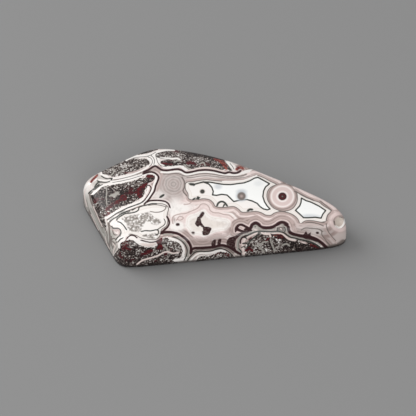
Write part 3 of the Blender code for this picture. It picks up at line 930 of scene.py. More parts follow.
            (150, 241.8), (156, 241))),
        Stroke(0.20, (
            (142.4, 201.6), (146, 197), (149, 192.4), (150.6, 188), (149.2, 185.2), (146, 184.6))),
        Stroke(0.22, ((146, 182.4), (150, 181.2), (153.4, 178.6), (153.8, 175.8))),
        Stroke(0.26, ((245.4, 235), (241.8, 236.8), (240.2, 239.4), (240, 242.6))),
        Stroke(0.22, ((271, 234), (277, 234.8), (282.4, 235.6), (285.6, 238.6))),
    ),
}

CLOUDS: dict[Tint, tuple[Cloud, ...]] = {
    Tint.WHITE: (
        Cloud((174, 208), (7, 8)),
        Cloud((181, 207), (10, 4)),
        Cloud((176, 226), (7, 5)),
        Cloud((158, 195), (7, 4.5), 0, 0.7),
        Cloud((85.4, 188), (3, 6), 0, 0.7),
        Cloud((316, 231), (6, 4), 0, 0.35),
        Cloud((152.6, 158), (4, 5), 0, 0.8),
        Cloud((144, 240.4), (13, 3.6), 12),
        Cloud((157, 202.6), (13, 3), 4),
        Cloud((216, 176.4), (40, 3), 0, 0.4),
    ),
    Tint.MAUVE: (
        Cloud((173, 184), (13, 11)),
        Cloud((166, 190), (8, 8)),
        Cloud((176, 195), (8, 5)),
        Cloud((204, 176), (22, 1.8), 0, 0.4),
        Cloud((312, 229), (12, 4), 8, 0.7),
    ),
    Tint.GREY: (
        Cloud((124, 179), (26, 3.6), -14, 0.5),
        Cloud((97, 181), (8, 5), -35, 0.7),
        # On the left wall the grey is partly its own grey streaks and partly a painted grazing
        # reflection.
        Cloud((98, 232), (13, 36), -28),
        Cloud((112, 240), (5, 14), -10),
        Cloud((86, 204), (6, 16), -12),
        Cloud((184, 256), (6, 5), 0, 0.6),
        Cloud((280.6, 228.4), (4.6, 4)),
        Cloud((254.8, 227.6), (3, 4)),
        Cloud((238, 254), (5, 4), 0, 0.6),
    ),
    Tint.DUSTY: (
        Cloud((201, 241), (12, 3.6)),
        Cloud((216, 236.6), (10, 2.6), -6),
        Cloud((229, 231), (5, 3.6), -50),
        Cloud((186, 233), (5, 2.6), 40, 0.6),
        Cloud((236, 223), (9, 2.4), -14, 0.5),
        Cloud((333, 234), (13, 11), 20, 0.6),
        Cloud((311, 225.6), (14, 4.6), 6, 0.8),
        Cloud((295, 225), (4.6, 8), -16, 0.6),
        Cloud((152, 169.6), (9, 2.2), -22, 0.9),
    ),
    Tint.PINK: (
        Cloud((197, 204), (11, 4), -10, 0.4),
        Cloud((179, 198), (7, 4), -10, 0.9),
        Cloud((336, 211), (8, 4), 35, 0.6),
        Cloud((322, 199), (24, 2.0), 31, 0.5),
    ),
    Tint.HAZE: (
        Cloud((217.6, 186), (3.4, 2.4)),
        Cloud((241, 191), (4.4, 2.2)),
        Cloud((258, 183), (4, 2.4), 0, 0.4),
        Cloud((310, 216.4), (9, 2.4), 2),
    ),
    Tint.GLINT: (
        Cloud((124, 167), (20, 7), -14, 0.6),
        Cloud((186, 160), (18, 5), 0, 0.6),
        Cloud((262, 244), (12, 8), 0, 0.6),
        Cloud((168, 242), (9, 4), 10, 0.7),
        Cloud((114, 194.4), (5, 2.4), -20),
        Cloud((214, 259), (14, 6), -6),
        Cloud((171, 154), (8, 3), -4),
    ),
    Tint.SHADE: (
        Cloud((306, 246), (20, 5), 8, 0.6),
        Cloud((122, 191.6), (12, 2), -3),
        Cloud((93, 196), (4, 4)),
        Cloud((163, 154), (9, 2.6), -4, 0.2),
        Cloud((120, 195), (14, 5), -8, 0.4),
        Cloud((204, 155), (18, 2.4), 10),
        Cloud((168, 162.6), (9, 2)),
        Cloud((146, 151), (10, 2), -8, 0.6),
        Cloud((130, 262), (18, 4), 4, 0.3),
    ),
}

ROSE_EYE = Eye("rose_eye", (281.9, 195.9), 0.93)
MAUVE_EYE = Eye("mauve_eye", (173.0, 183.6), 0.95)
CREAM_EYE = Eye("cream_eye", (201.9, 191.0), 0.92)
POND_EYE = Eye("pond_eye", (241.0, 195.6), 0.95)
TIP_EYE = Eye("tip_eye", (339.2, 221.2), 1.04)
EYES = (ROSE_EYE, MAUVE_EYE, CREAM_EYE, POND_EYE, TIP_EYE)


@dataclass
class LacePattern:
    """The lace: works out how far every point of the stone is from each kind of outline.

    A stroke's share is the distance from its middle over its half width, up to share_cap. A cloud
    fades out between cloud_reach half axes and one less. A ray starts ray_start off the surface,
    so that it doesn't meet its own place. Lengths are in millimetres.
    """

    view: PhotoView
    curve_steps: int = 5
    shortest_run: float = 1e-9
    share_cap: float = 9.0
    cloud_reach: float = 1.6
    sway_per_mm: float = 1.3
    ray_start: float = 0.02

    def curve(self, pixels: Outline, closed: bool, smooth: bool = True) -> np.ndarray:
        """Smooth curve through given pixels.

        Args:
            pixels: The pixels that the curve passes through.
            closed: Whether it runs back to its start.
            smooth: Whether it is rounded between the pixels or straight.

        Returns:
            Points along the curve, with the first repeated at the end of a closed one.
        """
        knots = np.array(pixels, float)
        if not smooth:
            return np.concatenate([knots, knots[:1]]) if closed else knots
        if closed:
            before, after = knots[-1:], knots[:2]
        else:
            before, after = 2 * knots[:1] - knots[1:2], 2 * knots[-1:] - knots[-2:-1]
        padded = np.concatenate([before, knots, after])
        t = np.linspace(0.0, 1.0, self.curve_steps, endpoint=False)[:, None]
        runs = []
        for a, b, c, d in zip(padded, padded[1:], padded[2:], padded[3:]):
            runs.append(0.5 * (2 * b + (c - a) * t + (2 * a - 5 * b + 4 * c - d) * t ** 2
                               + (3 * b - a - 3 * c + d) * t ** 3))
        last = padded[1:2] if closed else padded[-2:-1]
        return np.concatenate(runs + [last])

    def side_distance(self, places: np.ndarray,
                      path: np.ndarray) -> tuple[np.ndarray, np.ndarray]:
        """Distance to a path, and which side of it each place is on.

        Args:
            places: Pixel positions, one row each.
            path: The path's points, one row each.

        Returns:
            The distance in pixels, and the same distance with a sign for the side.
        """
        best = np.full(len(places), np.inf)
        side = np.ones(len(places))
        for start, end in zip(path, path[1:]):
            run = end - start
            length_squared = max(float(run @ run), self.shortest_run)
            offset = places - start
            share = np.clip((offset @ run) / length_squared, 0.0, 1.0)
            gap = offset - share[:, None] * run
            distance = np.hypot(gap[:, 0], gap[:, 1])
            cross = run[0] * offset[:, 1] - run[1] * offset[:, 0]
            closer = distance < best
            best[closer] = distance[closer]
            side[closer] = np.where(cross[closer] < 0.0, -1.0, 1.0)
        return best, best * side

    def inside(self, places: np.ndarray, path: np.ndarray) -> np.ndarray:
        """Whether each place is inside a closed path.

        Args:
            places: Pixel positions, one row each.
            path: The path's points, with the first repeated at the end.

        Returns:
            True for each place inside.
        """
        crossed = np.zeros(len(places), bool)
        x, y = places[:, 0], places[:, 1]
        for (x0, y0), (x1, y1) in zip(path, path[1:]):
            if y0 == y1:
                continue
            spans = (y0 > y) != (y1 > y)
            crossed ^= spans & (x < x0 + (y - y0) * (x1 - x0) / (y1 - y0))
        return crossed

    def near(self, places: np.ndarray, path: np.ndarray, margin: float) -> np.ndarray:
        """Numbers of the places within a margin of a path's box, in pixels."""
        low, high = path.min(axis=0) - margin, path.max(axis=0) + margin
        return np.flatnonzero(((places > low) & (places < high)).all(axis=1))

    def zone_field(self, places: np.ndarray, kind: Zone) -> np.ndarray:
        """Distance from the nearest area of one kind.

        Args:
            places: Pixel positions, one row each.
            kind: The kind of area.

        Returns:
            The distance in millimetres, negative inside an area.
        """
        scale = self.view.mm_per_pixel
        result = np.full(len(places), FAR)
        for pixels in AREAS[kind]:
            path = self.curve(pixels, closed=True, smooth=kind is not Zone.POND)
            picked = self.near(places, path, FAR / scale)
            distance, _ = self.side_distance(places[picked], path)
            sign = np.where(self.inside(places[picked], path), -1.0, 1.0)
            result[picked] = np.minimum(result[picked], distance * sign * scale)
        return result

    def line_fields(self, places: np.ndarray,
                    kind: Line) -> tuple[np.ndarray, np.ndarray, np.ndarray]:
        """Distances to the nearest stroke of one kind.

        Args:
            places: Pixel positions, one row each.
            kind: The kind of stroke.

        Returns:
            The distance across the stroke as a share of its half width, with a sign for the side;
            the same without the sign; and the distance from the stroke's edge in millimetres.
        """
        scale = self.view.mm_per_pixel
        shares = np.full(len(places), self.share_cap)
        signed = shares.copy()
        edge = np.full(len(places), FAR)
        for stroke in STROKES[kind]:
            path = self.curve(stroke.pixels, closed=False)
            picked = self.near(places, path, FAR / scale)
            distance, sided = self.side_distance(places[picked], path)
            half = stroke.width / 2.0
            share = distance * scale / half
            closer = share < shares[picked]
            chosen = picked[closer]
            shares[chosen] = share[closer]
            signed[chosen] = (sided * scale / half)[closer]
            edge[picked] = np.minimum(edge[picked], distance * scale - half)
        return np.clip(signed, -self.share_cap, self.share_cap), shares, edge

    def tint_field(self, places: np.ndarray, kind: Tint) -> np.ndarray:
        """Strength of one tint.

        Args:
            places: Pixel positions, one row each.
            kind: The tint.

        Returns:
            The strength at each place, 0 to 1.
        """
        result = np.zeros(len(places))
        for cloud in CLOUDS[kind]:
            turn = math.radians(cloud.tilt)
            x, y = (places - np.array(cloud.middle)).T
            along = (x * math.cos(turn) + y * math.sin(turn)) / cloud.radii[0]
            across = (y * math.cos(turn) - x * math.sin(turn)) / cloud.radii[1]
            fade = np.clip(self.cloud_reach - np.hypot(along, across), 0.0, 1.0)
            result = np.maximum(result, fade * cloud.strength)
        return result

    def eye_field(self, places: np.ndarray, eye: Eye) -> np.ndarray:
        """Distance from an eye's middle, in millimetres."""
        offset = (places - np.array(eye.middle)) * self.view.mm_per_pixel
        return np.hypot(offset[:, 0], offset[:, 1] / eye.squash)

    def buried_depth(self, mesh: bpy.types.Mesh, points: np.ndarray) -> np.ndarray:
        """How much stone lies between each point and the surface that the photograph shows.

        Args:
            mesh: The stone's mesh.
            points: Its points, in millimetres.

        Returns:
            The depth along the line of sight, in millimetres: 0 on every visible point.
        """
        normals = np.empty(len(points) * 3)
        mesh.vertices.foreach_get("normal", normals)
        sight = self.view.place() - points
        sight /= np.linalg.norm(sight, axis=1)[:, None]
        hidden = np.flatnonzero((normals.reshape(-1, 3) * sight).sum(axis=1) < 0.0)
        tree = BVHTree.FromPolygons(points.tolist(), [list(p.vertices) for p in mesh.polygons])
        depth = np.zeros(len(points))
        for number in hidden:
            direction = Vector(sight[number])
            start = Vector(points[number]) + direction * self.ray_start
            hit = tree.ray_cast(start, direction)
            depth[number] = hit[3] if hit[3] is not None else 0.0
        return depth

    def places_of(self, mesh: bpy.types.Mesh, points: np.ndarray) -> np.ndarray:
        """Pixel position whose lace each point carries, which wanders with the depth.

        Args:
            mesh: The stone's mesh.
            points: Its points, in millimetres.

        Returns:
            One row of x, y for each point.
        """
        x, y, z = points.T
        depth = self.buried_depth(mesh, points)
        # Slow waves, in radians for each millimetre, that don't fall into step with each other.
        sway = np.stack([
            np.sin(0.55 * x + 0.8 * z) + 0.7 * np.sin(0.47 * y - 0.3 * x + 1.7),
            np.cos(0.43 * x - 0.6 * z + 0.5) + 0.6 * np.sin(0.39 * y + 2.3)], axis=1)
        return self.view.pixels_of(points) + sway * (self.sway_per_mm * depth)[:, None]

    def paint(self, mesh: bpy.types.Mesh, points: np.ndarray) -> None:
        """Store every field on the mesh's points.

        Args:
            mesh: The stone's mesh.
            points: Its points, in millimetres.
        """
        places = self.places_of(mesh, points)
        for kind in Zone:
            self.store(mesh, kind.value, self.zone_field(places, kind))
        for kind in Line:
            signed, share, edge = self.line_fields(places, kind)
            self.store(mesh, kind.value, share if kind is Line.BROWN else signed)
            self.store(mesh, kind.value + SHARE, share)
            if kind is Line.MAROON:
                self.store(mesh, kind.value + EDGE, edge)
        for kind in Tint:
            self.store(mesh, kind.value, self.tint_field(places, kind))
        for eye in EYES:
            self.store(mesh, eye.name, self.eye_field(places, eye))

    def store(self, mesh: bpy.types.Mesh, name: str, values: np.ndarray) -> None:
        """Keep one number for each point of the mesh."""
        attribute = mesh.attributes.new(name, "FLOAT", "POINT")
        attribute.data.foreach_set("value", values.astype(np.float32))


class Graph:
    """A material's node tree, with one short method for each kind of step."""

    def __init__(self, material: bpy.types.Material) -> None:
        """Start the tree with only the shader and the output."""
        self.tree = material.node_tree
        self.shader = self.tree.nodes["Principled BSDF"]

    def node(self, kind: str, **settings: object) -> bpy.types.Node:
        """Add a node.

        Args:
            kind: The node's type.
            **settings: Properties to set on it.

        Returns:
            The node.
        """
        made = self.tree.nodes.new(kind)
        for name, value in settings.items():
            setattr(made, name, value)
        return made

    def feed(self, socket: Socket, value: object) -> None:
        """Give a node's input its value.

        Args:
            socket: The input.
            value: An output to link to it, or a plain value to set.
        """
        if isinstance(value, Socket):
            self.tree.links.new(value, socket)
        else:
            socket.default_value = value

    def stored(self, name: str) -> Socket:
        """A number stored on the mesh's points."""
        return self.node("ShaderNodeAttribute", attribute_name=name).outputs["Fac"]

    def math(self, operation: str, first: object, second: object = 0.0) -> Socket:
        """One step of arithmetic.

        Args:
            operation: The Math node's operation.
            first: The first value, an output or a number.
            second: The second value, where the operation takes one.

        Returns:
            The result.
        """
        made = self.node("ShaderNodeMath", operation=operation)
        self.feed(made.inputs[0], first)
        self.feed(made.inputs[1], second)
        return made.outputs[0]

    def plus(self, first: object, second: object) -> Socket:
        """Sum of two values."""
        return self.math("ADD", first, second)

    def times(self, first: object, second: object) -> Socket:
        """Product of two values."""
        return self.math("MULTIPLY", first, second)

    def step(self, value: object, low: float, high: float) -> Socket:
        """Soft step.

        Args:
            value: The value that the step depends on.
            low: Where it is still 0.
            high: Where it reaches 1, above low or below it.

        Returns:
            The step, 0 to 1.
        """
        made = self.node("ShaderNodeMapRange", interpolation_type="SMOOTHSTEP")
        self.feed(made.inputs["Value"], value)
        made.inputs["From Min"].default_value = low
        made.inputs["From Max"].default_value = high
        return made.outputs["Result"]

    def ramp(self, value: object, stops: tuple, reach: float = 1.0) -> Socket:
        """Colour bands along a value.

        Args:
            value: The value that the bands run along.
            stops: Position and colour of each stop, in the value's own unit.
            reach: The value at the ramp's end.

        Returns:
            The colour.
        """
        made = self.node("ShaderNodeValToRGB")
        bands = made.color_ramp.elements
        while len(bands) < len(stops):
            bands.new(0.5)
        # Bands sort themselves by position, so the colours wait until all are in their places.
        for band, (position, _) in zip(bands, stops):
            band.position = position / reach
        for band, (position, colour) in zip(bands, stops):
            band.position = position / reach
            band.color = colour
        self.feed(made.inputs["Fac"], self.math("DIVIDE", value, reach))
        return made.outputs["Color"]

    def mix(self, factor: object, under: object, over: object) -> Socket:
        """Colour laid over another colour.

        Args:
            factor: How much of the upper colour shows, 0 to 1.
            under: The lower colour.
            over: The upper colour.

        Returns:
            The mixed colour.
        """
        made = self.node("ShaderNodeMix", data_type="RGBA")
        self.feed(made.inputs[MIX_FACTOR], factor)
        self.feed(made.inputs[MIX_UNDER], under)
        self.feed(made.inputs[MIX_OVER], over)
        return made.outputs[MIX_RESULT]

    def noise(self, per_mm: float, detail: float, roughness: float = 0.5, offset: float = 0.0) -> Socket:
        """Noise through the stone.

        Args:
            per_mm: Waves for each millimetre.
            detail: Number of finer layers.
            roughness: Weight of the finer layers.
            offset: A shift, so that two noises differ.

        Returns:
            The noise, about 0 to 1.
        """
        made = self.node("ShaderNodeTexNoise")
        place = self.node("ShaderNodeTexCoord").outputs["Object"]
        shift = self.node("ShaderNodeMapping")
        shift.inputs["Location"].default_value = [offset * share for share in NOISE_SHIFT]
        shift.inputs["Scale"].default_value = (1.0 / MM, 1.0 / MM, 1.0 / MM)
        self.feed(shift.inputs["Vector"], place)
        self.feed(made.inputs["Vector"], shift.outputs["Vector"])
        made.inputs["Scale"].default_value = per_mm
        made.inputs["Detail"].default_value = detail
        made.inputs["Roughness"].default_value = roughness
        return made.outputs["Fac"]

    def ripple(self, height: float, **noise: float) -> Socket:
        """Noise that runs about zero over the height in all, from the values that noise() takes."""
        return self.times(self.math("SUBTRACT", self.noise(**noise), 0.5), height)


@dataclass(frozen=True)
class LaceColours:
    """Colours of the lace, from the photograph."""

    pure_white: Colour = srgb(252, 252, 250)
    white: Colour = srgb(246, 241, 237)
    cream: Colour = srgb(233, 224, 217)
    blush: Colour = srgb(238, 221, 217)
    pink: Colour = srgb(223, 203, 199)
    rose: Colour = srgb(190, 170, 165)
    dusty: Colour = srgb(166, 148, 143)
    taupe: Colour = srgb(147, 128, 123)
    mauve: Colour = srgb(199, 188, 184)
    heather: Colour = srgb(162, 149, 145)
    # Grey of the left wall's streaks and of small grey patches, and on the left wall partly a painted
    # grazing reflection.
    wall_grey_and_sheen: Colour = srgb(189, 187, 180)
    ash: Colour = srgb(122, 112, 107)
    silver: Colour = srgb(166, 162, 155)
    bone: Colour = srgb(232, 216, 210)
    sand: Colour = srgb(204, 192, 181)
    slate: Colour = srgb(58, 60, 55)
    maroon: Colour = srgb(52, 27, 29)
    # Black of the crystal's grains, and of the painted contact shadow round the foot.
    black_and_shadow: Colour = srgb(28, 21, 20)
    deep_red: Colour = srgb(92, 20, 25)
    brick: Colour = srgb(164, 88, 74)
    umber: Colour = srgb(56, 45, 42)
    brown: Colour = srgb(88, 74, 70)
    crystal_grey: Colour = srgb(134, 126, 121)
    crystal_white: Colour = srgb(214, 209, 204)
    ice_blue: Colour = srgb(198, 203, 208)


@dataclass(frozen=True)
class PolishedAgate:
    """The stone's finish: lace colours under a lapidary's polish.

    The waver of the bands and the ragged edge of the nests are in millimetres, and milk_waver to
    stroke_waver are multiples of the waver. A stroke's mask is gone at the first share of its half
    width in stroke_end, and full at the second. The fields grain_drift, glint and shade move the
    crystal's grains towards white or black, and those from smoke on are strengths, 0 to 1.
    """

    colours: LaceColours = LaceColours()
    polish: float = 0.13
    crystal_roughness: float = 0.10
    bump_height: float = 0.02
    index: float = 1.54
    gloss: float = 0.25
    waver: float = 0.10
    milk_waver: float = 0.5
    pond_waver: float = 0.25
    eye_waver: float = 2.4
    stroke_waver: float = 3.0
    stroke_end: tuple[float, float] = (1.9, 1.5)
    ragged: float = 0.5
    grain_drift: float = 0.35
    glint: float = 0.05
    shade: float = -0.10
    smoke: float = 0.22
    mauve_rings: float = 0.5
    haze: float = 0.7
    tip_hollow: float = 0.85
    bump: float = 0.5
    # Strength of the painted contact shadow round the foot of the stone.
    foot_shadow: float = 0.85

    def build(self) -> bpy.types.Material:
        """Make the material.

        Returns:
            The material, with all its layers.
        """
        material = bpy.data.materials.new("polished_lace_agate")
        material.use_nodes = True
        graph = Graph(material)
        wander = self.wander(graph)
        colour = self.lace(graph, wander)
        colour = self.milk_and_ponds(graph, colour, wander)
        colour = self.nests(graph, colour, wander)
        colour = self.eyes(graph, colour)
        colour = self.lines(graph, colour, wander)
        colour = self.foot(graph, colour, wander)
        self.dress(graph, colour)
        return material

    def wander(self, graph: Graph) -> Socket:
        """Small waver that keeps the bands from running like drawn lines, in millimetres."""
        return graph.ripple(self.waver * 2.0, per_mm=1.1, detail=3.0)

    def lace(self, graph: Graph, wander: Socket) -> Socket:
        """Fine pink bands that follow the white zones and the dark lines.

        Args:
            graph: The material's nodes.
            wander: The bands' small waver.

        Returns:
            The lace's colour.
        """
        c = self.colours
        from_milk = graph.plus(graph.stored(Zone.MILK.value), wander)
        by_milk = graph.ramp(from_milk, (
            (0.0, c.dusty), (0.12, c.rose), (0.34, c.rose), (0.46, c.blush), (0.82, c.blush),
            (0.96, c.rose), (1.10, c.rose), (1.22, c.taupe), (1.60, c.taupe), (1.80, c.mauve),
            (2.12, c.mauve), (2.34, c.taupe), (2.52, c.taupe), (2.74, c.dusty), (2.95, c.rose)), FAR)
        from_heart = graph.plus(graph.stored(Zone.HEART.value), wander)
        by_heart = graph.ramp(from_heart, (
            (0.0, c.blush), (0.10, c.pink), (0.22, c.blush), (0.44, c.blush), (0.54, c.pink),
            (0.66, c.blush), (1.00, c.white), (1.16, c.pink), (1.30, c.blush), (1.90, c.white)), FAR)
        nearer = graph.math("SUBTRACT", from_heart, from_milk)
        colour = graph.mix(graph.step(nearer, 0.25, -0.25), by_milk, by_heart)
        from_line = graph.plus(graph.stored(Line.MAROON.value + EDGE), wander)
        by_line = graph.ramp(from_line, (
            (0.0, c.dusty), (0.08, c.pink), (0.24, c.pink), (0.32, c.dusty), (0.48, c.dusty),
            (0.60, c.rose), (0.74, c.rose), (0.84, c.taupe), (1.04, c.taupe), (1.16, c.rose),
            (1.30, c.pink)), FAR)
        colour = graph.mix(graph.step(from_line, 1.3, 0.8), colour, by_line)
        heart = graph.ramp(graph.times(from_heart, -1.0), (
            (0.0, c.pink), (0.12, c.blush), (0.30, c.white), (0.50, c.cream), (0.62, c.white),
            (1.20, c.cream)), FAR)
        colour = graph.mix(graph.step(from_heart, 0.05, -0.10), colour, heart)
        # The grey tint is partly a painted grazing reflection on the left wall.
        tints = (
            (Tint.PINK, 0.55, c.pink), (Tint.DUSTY, 0.75, c.dusty), (Tint.MAUVE, 0.85, c.mauve),
            (Tint.GREY, 0.85, c.wall_grey_and_sheen), (Tint.WHITE, 0.9, c.white))
        for tint, strength, shade in tints:
            share = graph.times(graph.stored(tint.value), strength)
            colour = graph.mix(share, colour, shade)
        smoke = graph.step(graph.noise(per_mm=1.3, detail=4.0, roughness=0.6, offset=11.0), 0.46, 0.72)
        colour = graph.mix(graph.times(smoke, self.smoke), colour, c.heather)
        waver = graph.times(wander, self.eye_waver)
        eye = graph.plus(graph.stored(MAUVE_EYE.name), waver)
        rings = graph.ramp(eye, (
            (0.0, c.taupe), (0.22, c.mauve), (0.42, c.ash), (0.66, c.mauve), (0.94, c.taupe),
            (1.18, c.mauve), (1.44, c.ash), (1.70, c.mauve), (2.00, c.taupe), (2.26, c.mauve),
            (2.56, c.heather), (2.80, c.mauve)), FAR)
        reach = graph.times(graph.step(eye, FAR, 2.2), self.mauve_rings)
        return graph.mix(reach, colour, rings)

    def milk_and_ponds(self, graph: Graph, colour: Socket, wander: Socket) -> Socket:
        """White zones with their scalloped line, and the ponds with their dark one.

        Args:
            graph: The material's nodes.
            colour: The colour so far.
            wander: The bands' small waver.

        Returns:
            The colour with this layer on it.
        """
        c = self.colours
        waver = graph.times(wander, self.milk_waver)
        milk = graph.plus(graph.stored(Zone.MILK.value), waver)
        inner = graph.ramp(graph.times(milk, -1.0), (
            (0.0, c.ash), (0.11, c.ash), (0.19, c.white), (0.34, c.cream), (0.46, c.white),
            (0.70, c.cream), (0.84, c.white)), FAR)
        colour = graph.mix(graph.step(milk, 0.05, -0.02), colour, inner)
        waver = graph.times(wander, self.pond_waver)
        pond = graph.plus(graph.stored(Zone.POND.value), waver)
        haze = graph.times(graph.stored(Tint.HAZE.value), self.haze)
        water = graph.mix(haze, c.pure_white, c.ice_blue)
        colour = graph.mix(graph.step(pond, 0.03, -0.03), colour, water)
        edge = graph.step(graph.math("ABSOLUTE", pond), 0.17, 0.10)
        return graph.mix(edge, colour, c.slate)

    def crystal(self, graph: Graph) -> Socket:
        """Dark crystal: black and brown grains with grey and white ones between.

        Args:
            graph: The material's nodes.

        Returns:
            The crystal's colour.
        """
        c = self.colours
        drift = graph.ripple(self.grain_drift, per_mm=0.8, detail=2.0)
        glint = graph.times(graph.stored(Tint.GLINT.value), self.glint)
        shade = graph.times(graph.stored(Tint.SHADE.value), self.shade)
        shift = graph.plus(drift, graph.plus(glint, shade))
        grains = graph.plus(graph.noise(per_mm=3.3, detail=2.0, roughness=0.6), shift)
        dark = graph.ramp(grains, (
            (0.0, c.black_and_shadow), (0.40, c.black_and_shadow), (0.47, c.umber), (0.53, c.brown), (0.59, c.crystal_grey),
            (0.67, c.crystal_white), (0.80, c.pure_white)))
        rusty = graph.ramp(grains, (
            (0.0, c.black_and_shadow), (0.40, c.maroon), (0.50, c.deep_red), (0.58, c.brown),
            (0.64, c.crystal_grey), (0.74, c.crystal_white)))
        rust = graph.step(graph.noise(per_mm=0.42, detail=2.0, roughness=0.5, offset=3.0), 0.60, 0.68)
        return graph.mix(rust, dark, rusty)

    def nests(self, graph: Graph, colour: Socket, wander: Socket) -> Socket:
        """Nests of dark crystal with a ragged edge, and the pale frosted ones.

        Args:
            graph: The material's nodes.
            colour: The colour so far.
            wander: The bands' small waver.

        Returns:
            The colour with this layer on it.
        """
        c = self.colours
        ragged = graph.ripple(self.ragged, per_mm=2.6, detail=2.0, roughness=0.6, offset=2.0)
        nest = graph.plus(graph.plus(graph.stored(Zone.NEST.value), wander), ragged)
        rim = graph.ramp(nest, ((0.0, c.cream), (0.08, c.white), (0.20, c.blush)), FAR)
        colour = graph.mix(graph.step(nest, 0.26, 0.12), colour, rim)
        colour = graph.mix(graph.step(nest, 0.05, -0.05), colour, self.crystal(graph))
        frost = graph.plus(graph.plus(graph.stored(Zone.FROST.value), wander), ragged)
        grains = graph.noise(per_mm=2.2, detail=3.0, roughness=0.6, offset=5.0)
        pale = graph.ramp(grains, (
            (0.0, c.ash), (0.38, c.crystal_grey), (0.48, c.silver), (0.54, c.mauve),
            (0.64, c.pure_white)))
        return graph.mix(graph.step(frost, 0.20, -0.20), colour, pale)

    def drawn(self, graph: Graph, kind: Line, waver: Socket, soft: float) -> Socket:
        """Mask of one kind of stroke.

        Args:
            graph: The material's nodes.
            kind: The kind of stroke.
            waver: Waver of the stroke, as a share of its half width.
            soft: Softness of its edges, as a share of its half width.

        Returns:
            The mask, 1 on the stroke.
        """
        across = graph.math("ABSOLUTE", graph.plus(graph.stored(kind.value), waver))
        line = graph.step(across, 1.0 + soft, 1.0 - soft)
        near = graph.step(graph.stored(kind.value + SHARE), *self.stroke_end)
        return graph.times(line, near)

    def lines(self, graph: Graph, colour: Socket, wander: Socket) -> Socket:
        """Grey, rose and white bands, red streaks, brown clusters and dark lines, in that order.

        Args:
            graph: The material's nodes.
            colour: The colour so far.
            wander: The bands' small waver.

        Returns:
            The colour with this layer on it.
        """
        c = self.colours
        waver = graph.times(wander, self.stroke_waver)
        blotches = graph.step(graph.noise(per_mm=2.0, detail=3.0, roughness=0.6, offset=9.0), 0.42, 0.60)
        red = graph.mix(blotches, c.deep_red, c.maroon)
        blotches = graph.step(graph.noise(per_mm=2.6, detail=2.0, roughness=0.6, offset=4.0), 0.44, 0.64)
        umber = graph.mix(blotches, c.maroon, c.brown)
        blotches = graph.step(graph.noise(per_mm=2.4, detail=2.0, roughness=0.6, offset=6.0), 0.40, 0.58)
        brick = graph.mix(blotches, c.brick, c.deep_red)
        zones = ((Zone.RED, red), (Zone.BROWN, umber))
        shades = (
            (Line.ASH, c.ash, 0.55), (Line.SILVER, c.silver, 0.45), (Line.ROSE, c.rose, 0.60),
            (Line.WHITE, c.white, 0.35), (Line.BONE, c.bone, 0.40), (Line.BRICK, brick, 0.60),
            (Line.RED, red, 0.50), (Line.BROWN, umber, 0.40), (Line.HAIR, c.slate, 0.45),
            (Line.MAROON, c.maroon, 0.35))
        for kind, shade, soft in shades:
            if kind is Line.BROWN:
                for zone, fill in zones:
                    reach = graph.plus(graph.stored(zone.value), wander)
                    colour = graph.mix(graph.step(reach, 0.06, -0.07), colour, fill)
            colour = graph.mix(self.drawn(graph, kind, waver, soft), colour, shade)
        return colour

    def eyes(self, graph: Graph, colour: Socket) -> Socket:
        """The rose eye, the cream eye, the clouded one in the pond, and the hollow at the tip.

        Args:
            graph: The material's nodes.
            colour: The colour so far.

        Returns:
            The colour with the eyes on it.
        """
        c = self.colours
        rose = graph.stored(ROSE_EYE.name)
        rings = graph.ramp(rose, (
            (0.0, c.taupe), (0.16, c.brown), (0.28, c.maroon), (0.46, c.deep_red), (0.56, c.maroon),
            (0.74, c.maroon), (0.86, c.blush), (1.02, c.white), (1.16, c.blush), (1.30, c.pink),
            (1.76, c.pink), (1.96, c.blush), (2.08, c.white), (2.20, c.blush), (2.40, c.rose),
            (2.56, c.dusty), (2.68, c.ash)), FAR)
        colour = graph.mix(graph.step(rose, 2.72, 2.66), colour, rings)
        cream = graph.stored(CREAM_EYE.name)
        core = graph.ramp(cream, (
            (0.0, c.brown), (0.18, c.slate), (0.34, c.slate), (0.56, c.cream), (0.90, c.white)))
        colour = graph.mix(graph.step(cream, 0.66, 0.52), colour, core)
        pond = graph.stored(POND_EYE.name)
        cloud = graph.ramp(pond, ((0.0, c.rose), (0.45, c.ash), (0.72, c.ash), (0.95, c.ice_blue)))
        colour = graph.mix(graph.step(pond, 1.45, 0.55), colour, cloud)
        tip = graph.stored(TIP_EYE.name)
        hollow = graph.ramp(tip, (
            (0.0, c.sand), (0.80, c.sand), (1.00, c.rose), (1.16, c.dusty), (1.30, c.pink),
            (1.80, c.pink), (1.96, c.rose), (2.60, c.rose)), FAR)
        reach = graph.times(graph.step(tip, 2.6, 1.5), self.tip_hollow)
        return graph.mix(reach, colour, hollow)

    def foot(self, graph: Graph, colour: Socket, wander: Socket) -> Socket:
        """Painted contact shadow: a dark band round the foot of the wall and the edge of the flat back.

        Args:
            graph: The material's nodes.
            colour: The colour so far.
            wander: The bands' small waver.

        Returns:
            The colour with this layer on it.
        """
        distance = graph.plus(graph.stored(FROM_FOOT), wander)
        # Painted contact shadow: full within 0.5 mm of the foot, gone by 1.2 mm up the wall or in over
        # the back.
        foot_shadow = graph.times(graph.step(distance, 1.20, 0.50), self.foot_shadow)
        return graph.mix(foot_shadow, colour, self.colours.black_and_shadow)

    def dress(self, graph: Graph, colour: Socket) -> None:
        """Give the shader its colour, its polish and the faint relief of the crystal.

        Args:
            graph: The material's nodes.
            colour: The finished colour.
        """
        shader = graph.shader
        graph.feed(shader.inputs["Base Color"], colour)
        nest = graph.step(graph.stored(Zone.NEST.value), 0.05, -0.15)
        grain = graph.noise(per_mm=2.4, detail=3.0, roughness=0.62)
        rough = graph.plus(self.polish, graph.times(nest, self.crystal_roughness))
        graph.feed(shader.inputs["Roughness"], rough)
        bump = graph.node("ShaderNodeBump")
        bump.inputs["Distance"].default_value = self.bump_height * MM
        graph.feed(bump.inputs["Strength"], graph.times(nest, self.bump))
        graph.feed(bump.inputs["Height"], grain)
        graph.feed(shader.inputs["Normal"], bump.outputs["Normal"])
        shader.inputs["IOR"].default_value = self.index
        shader.inputs["Specular IOR Level"].default_value = self.gloss


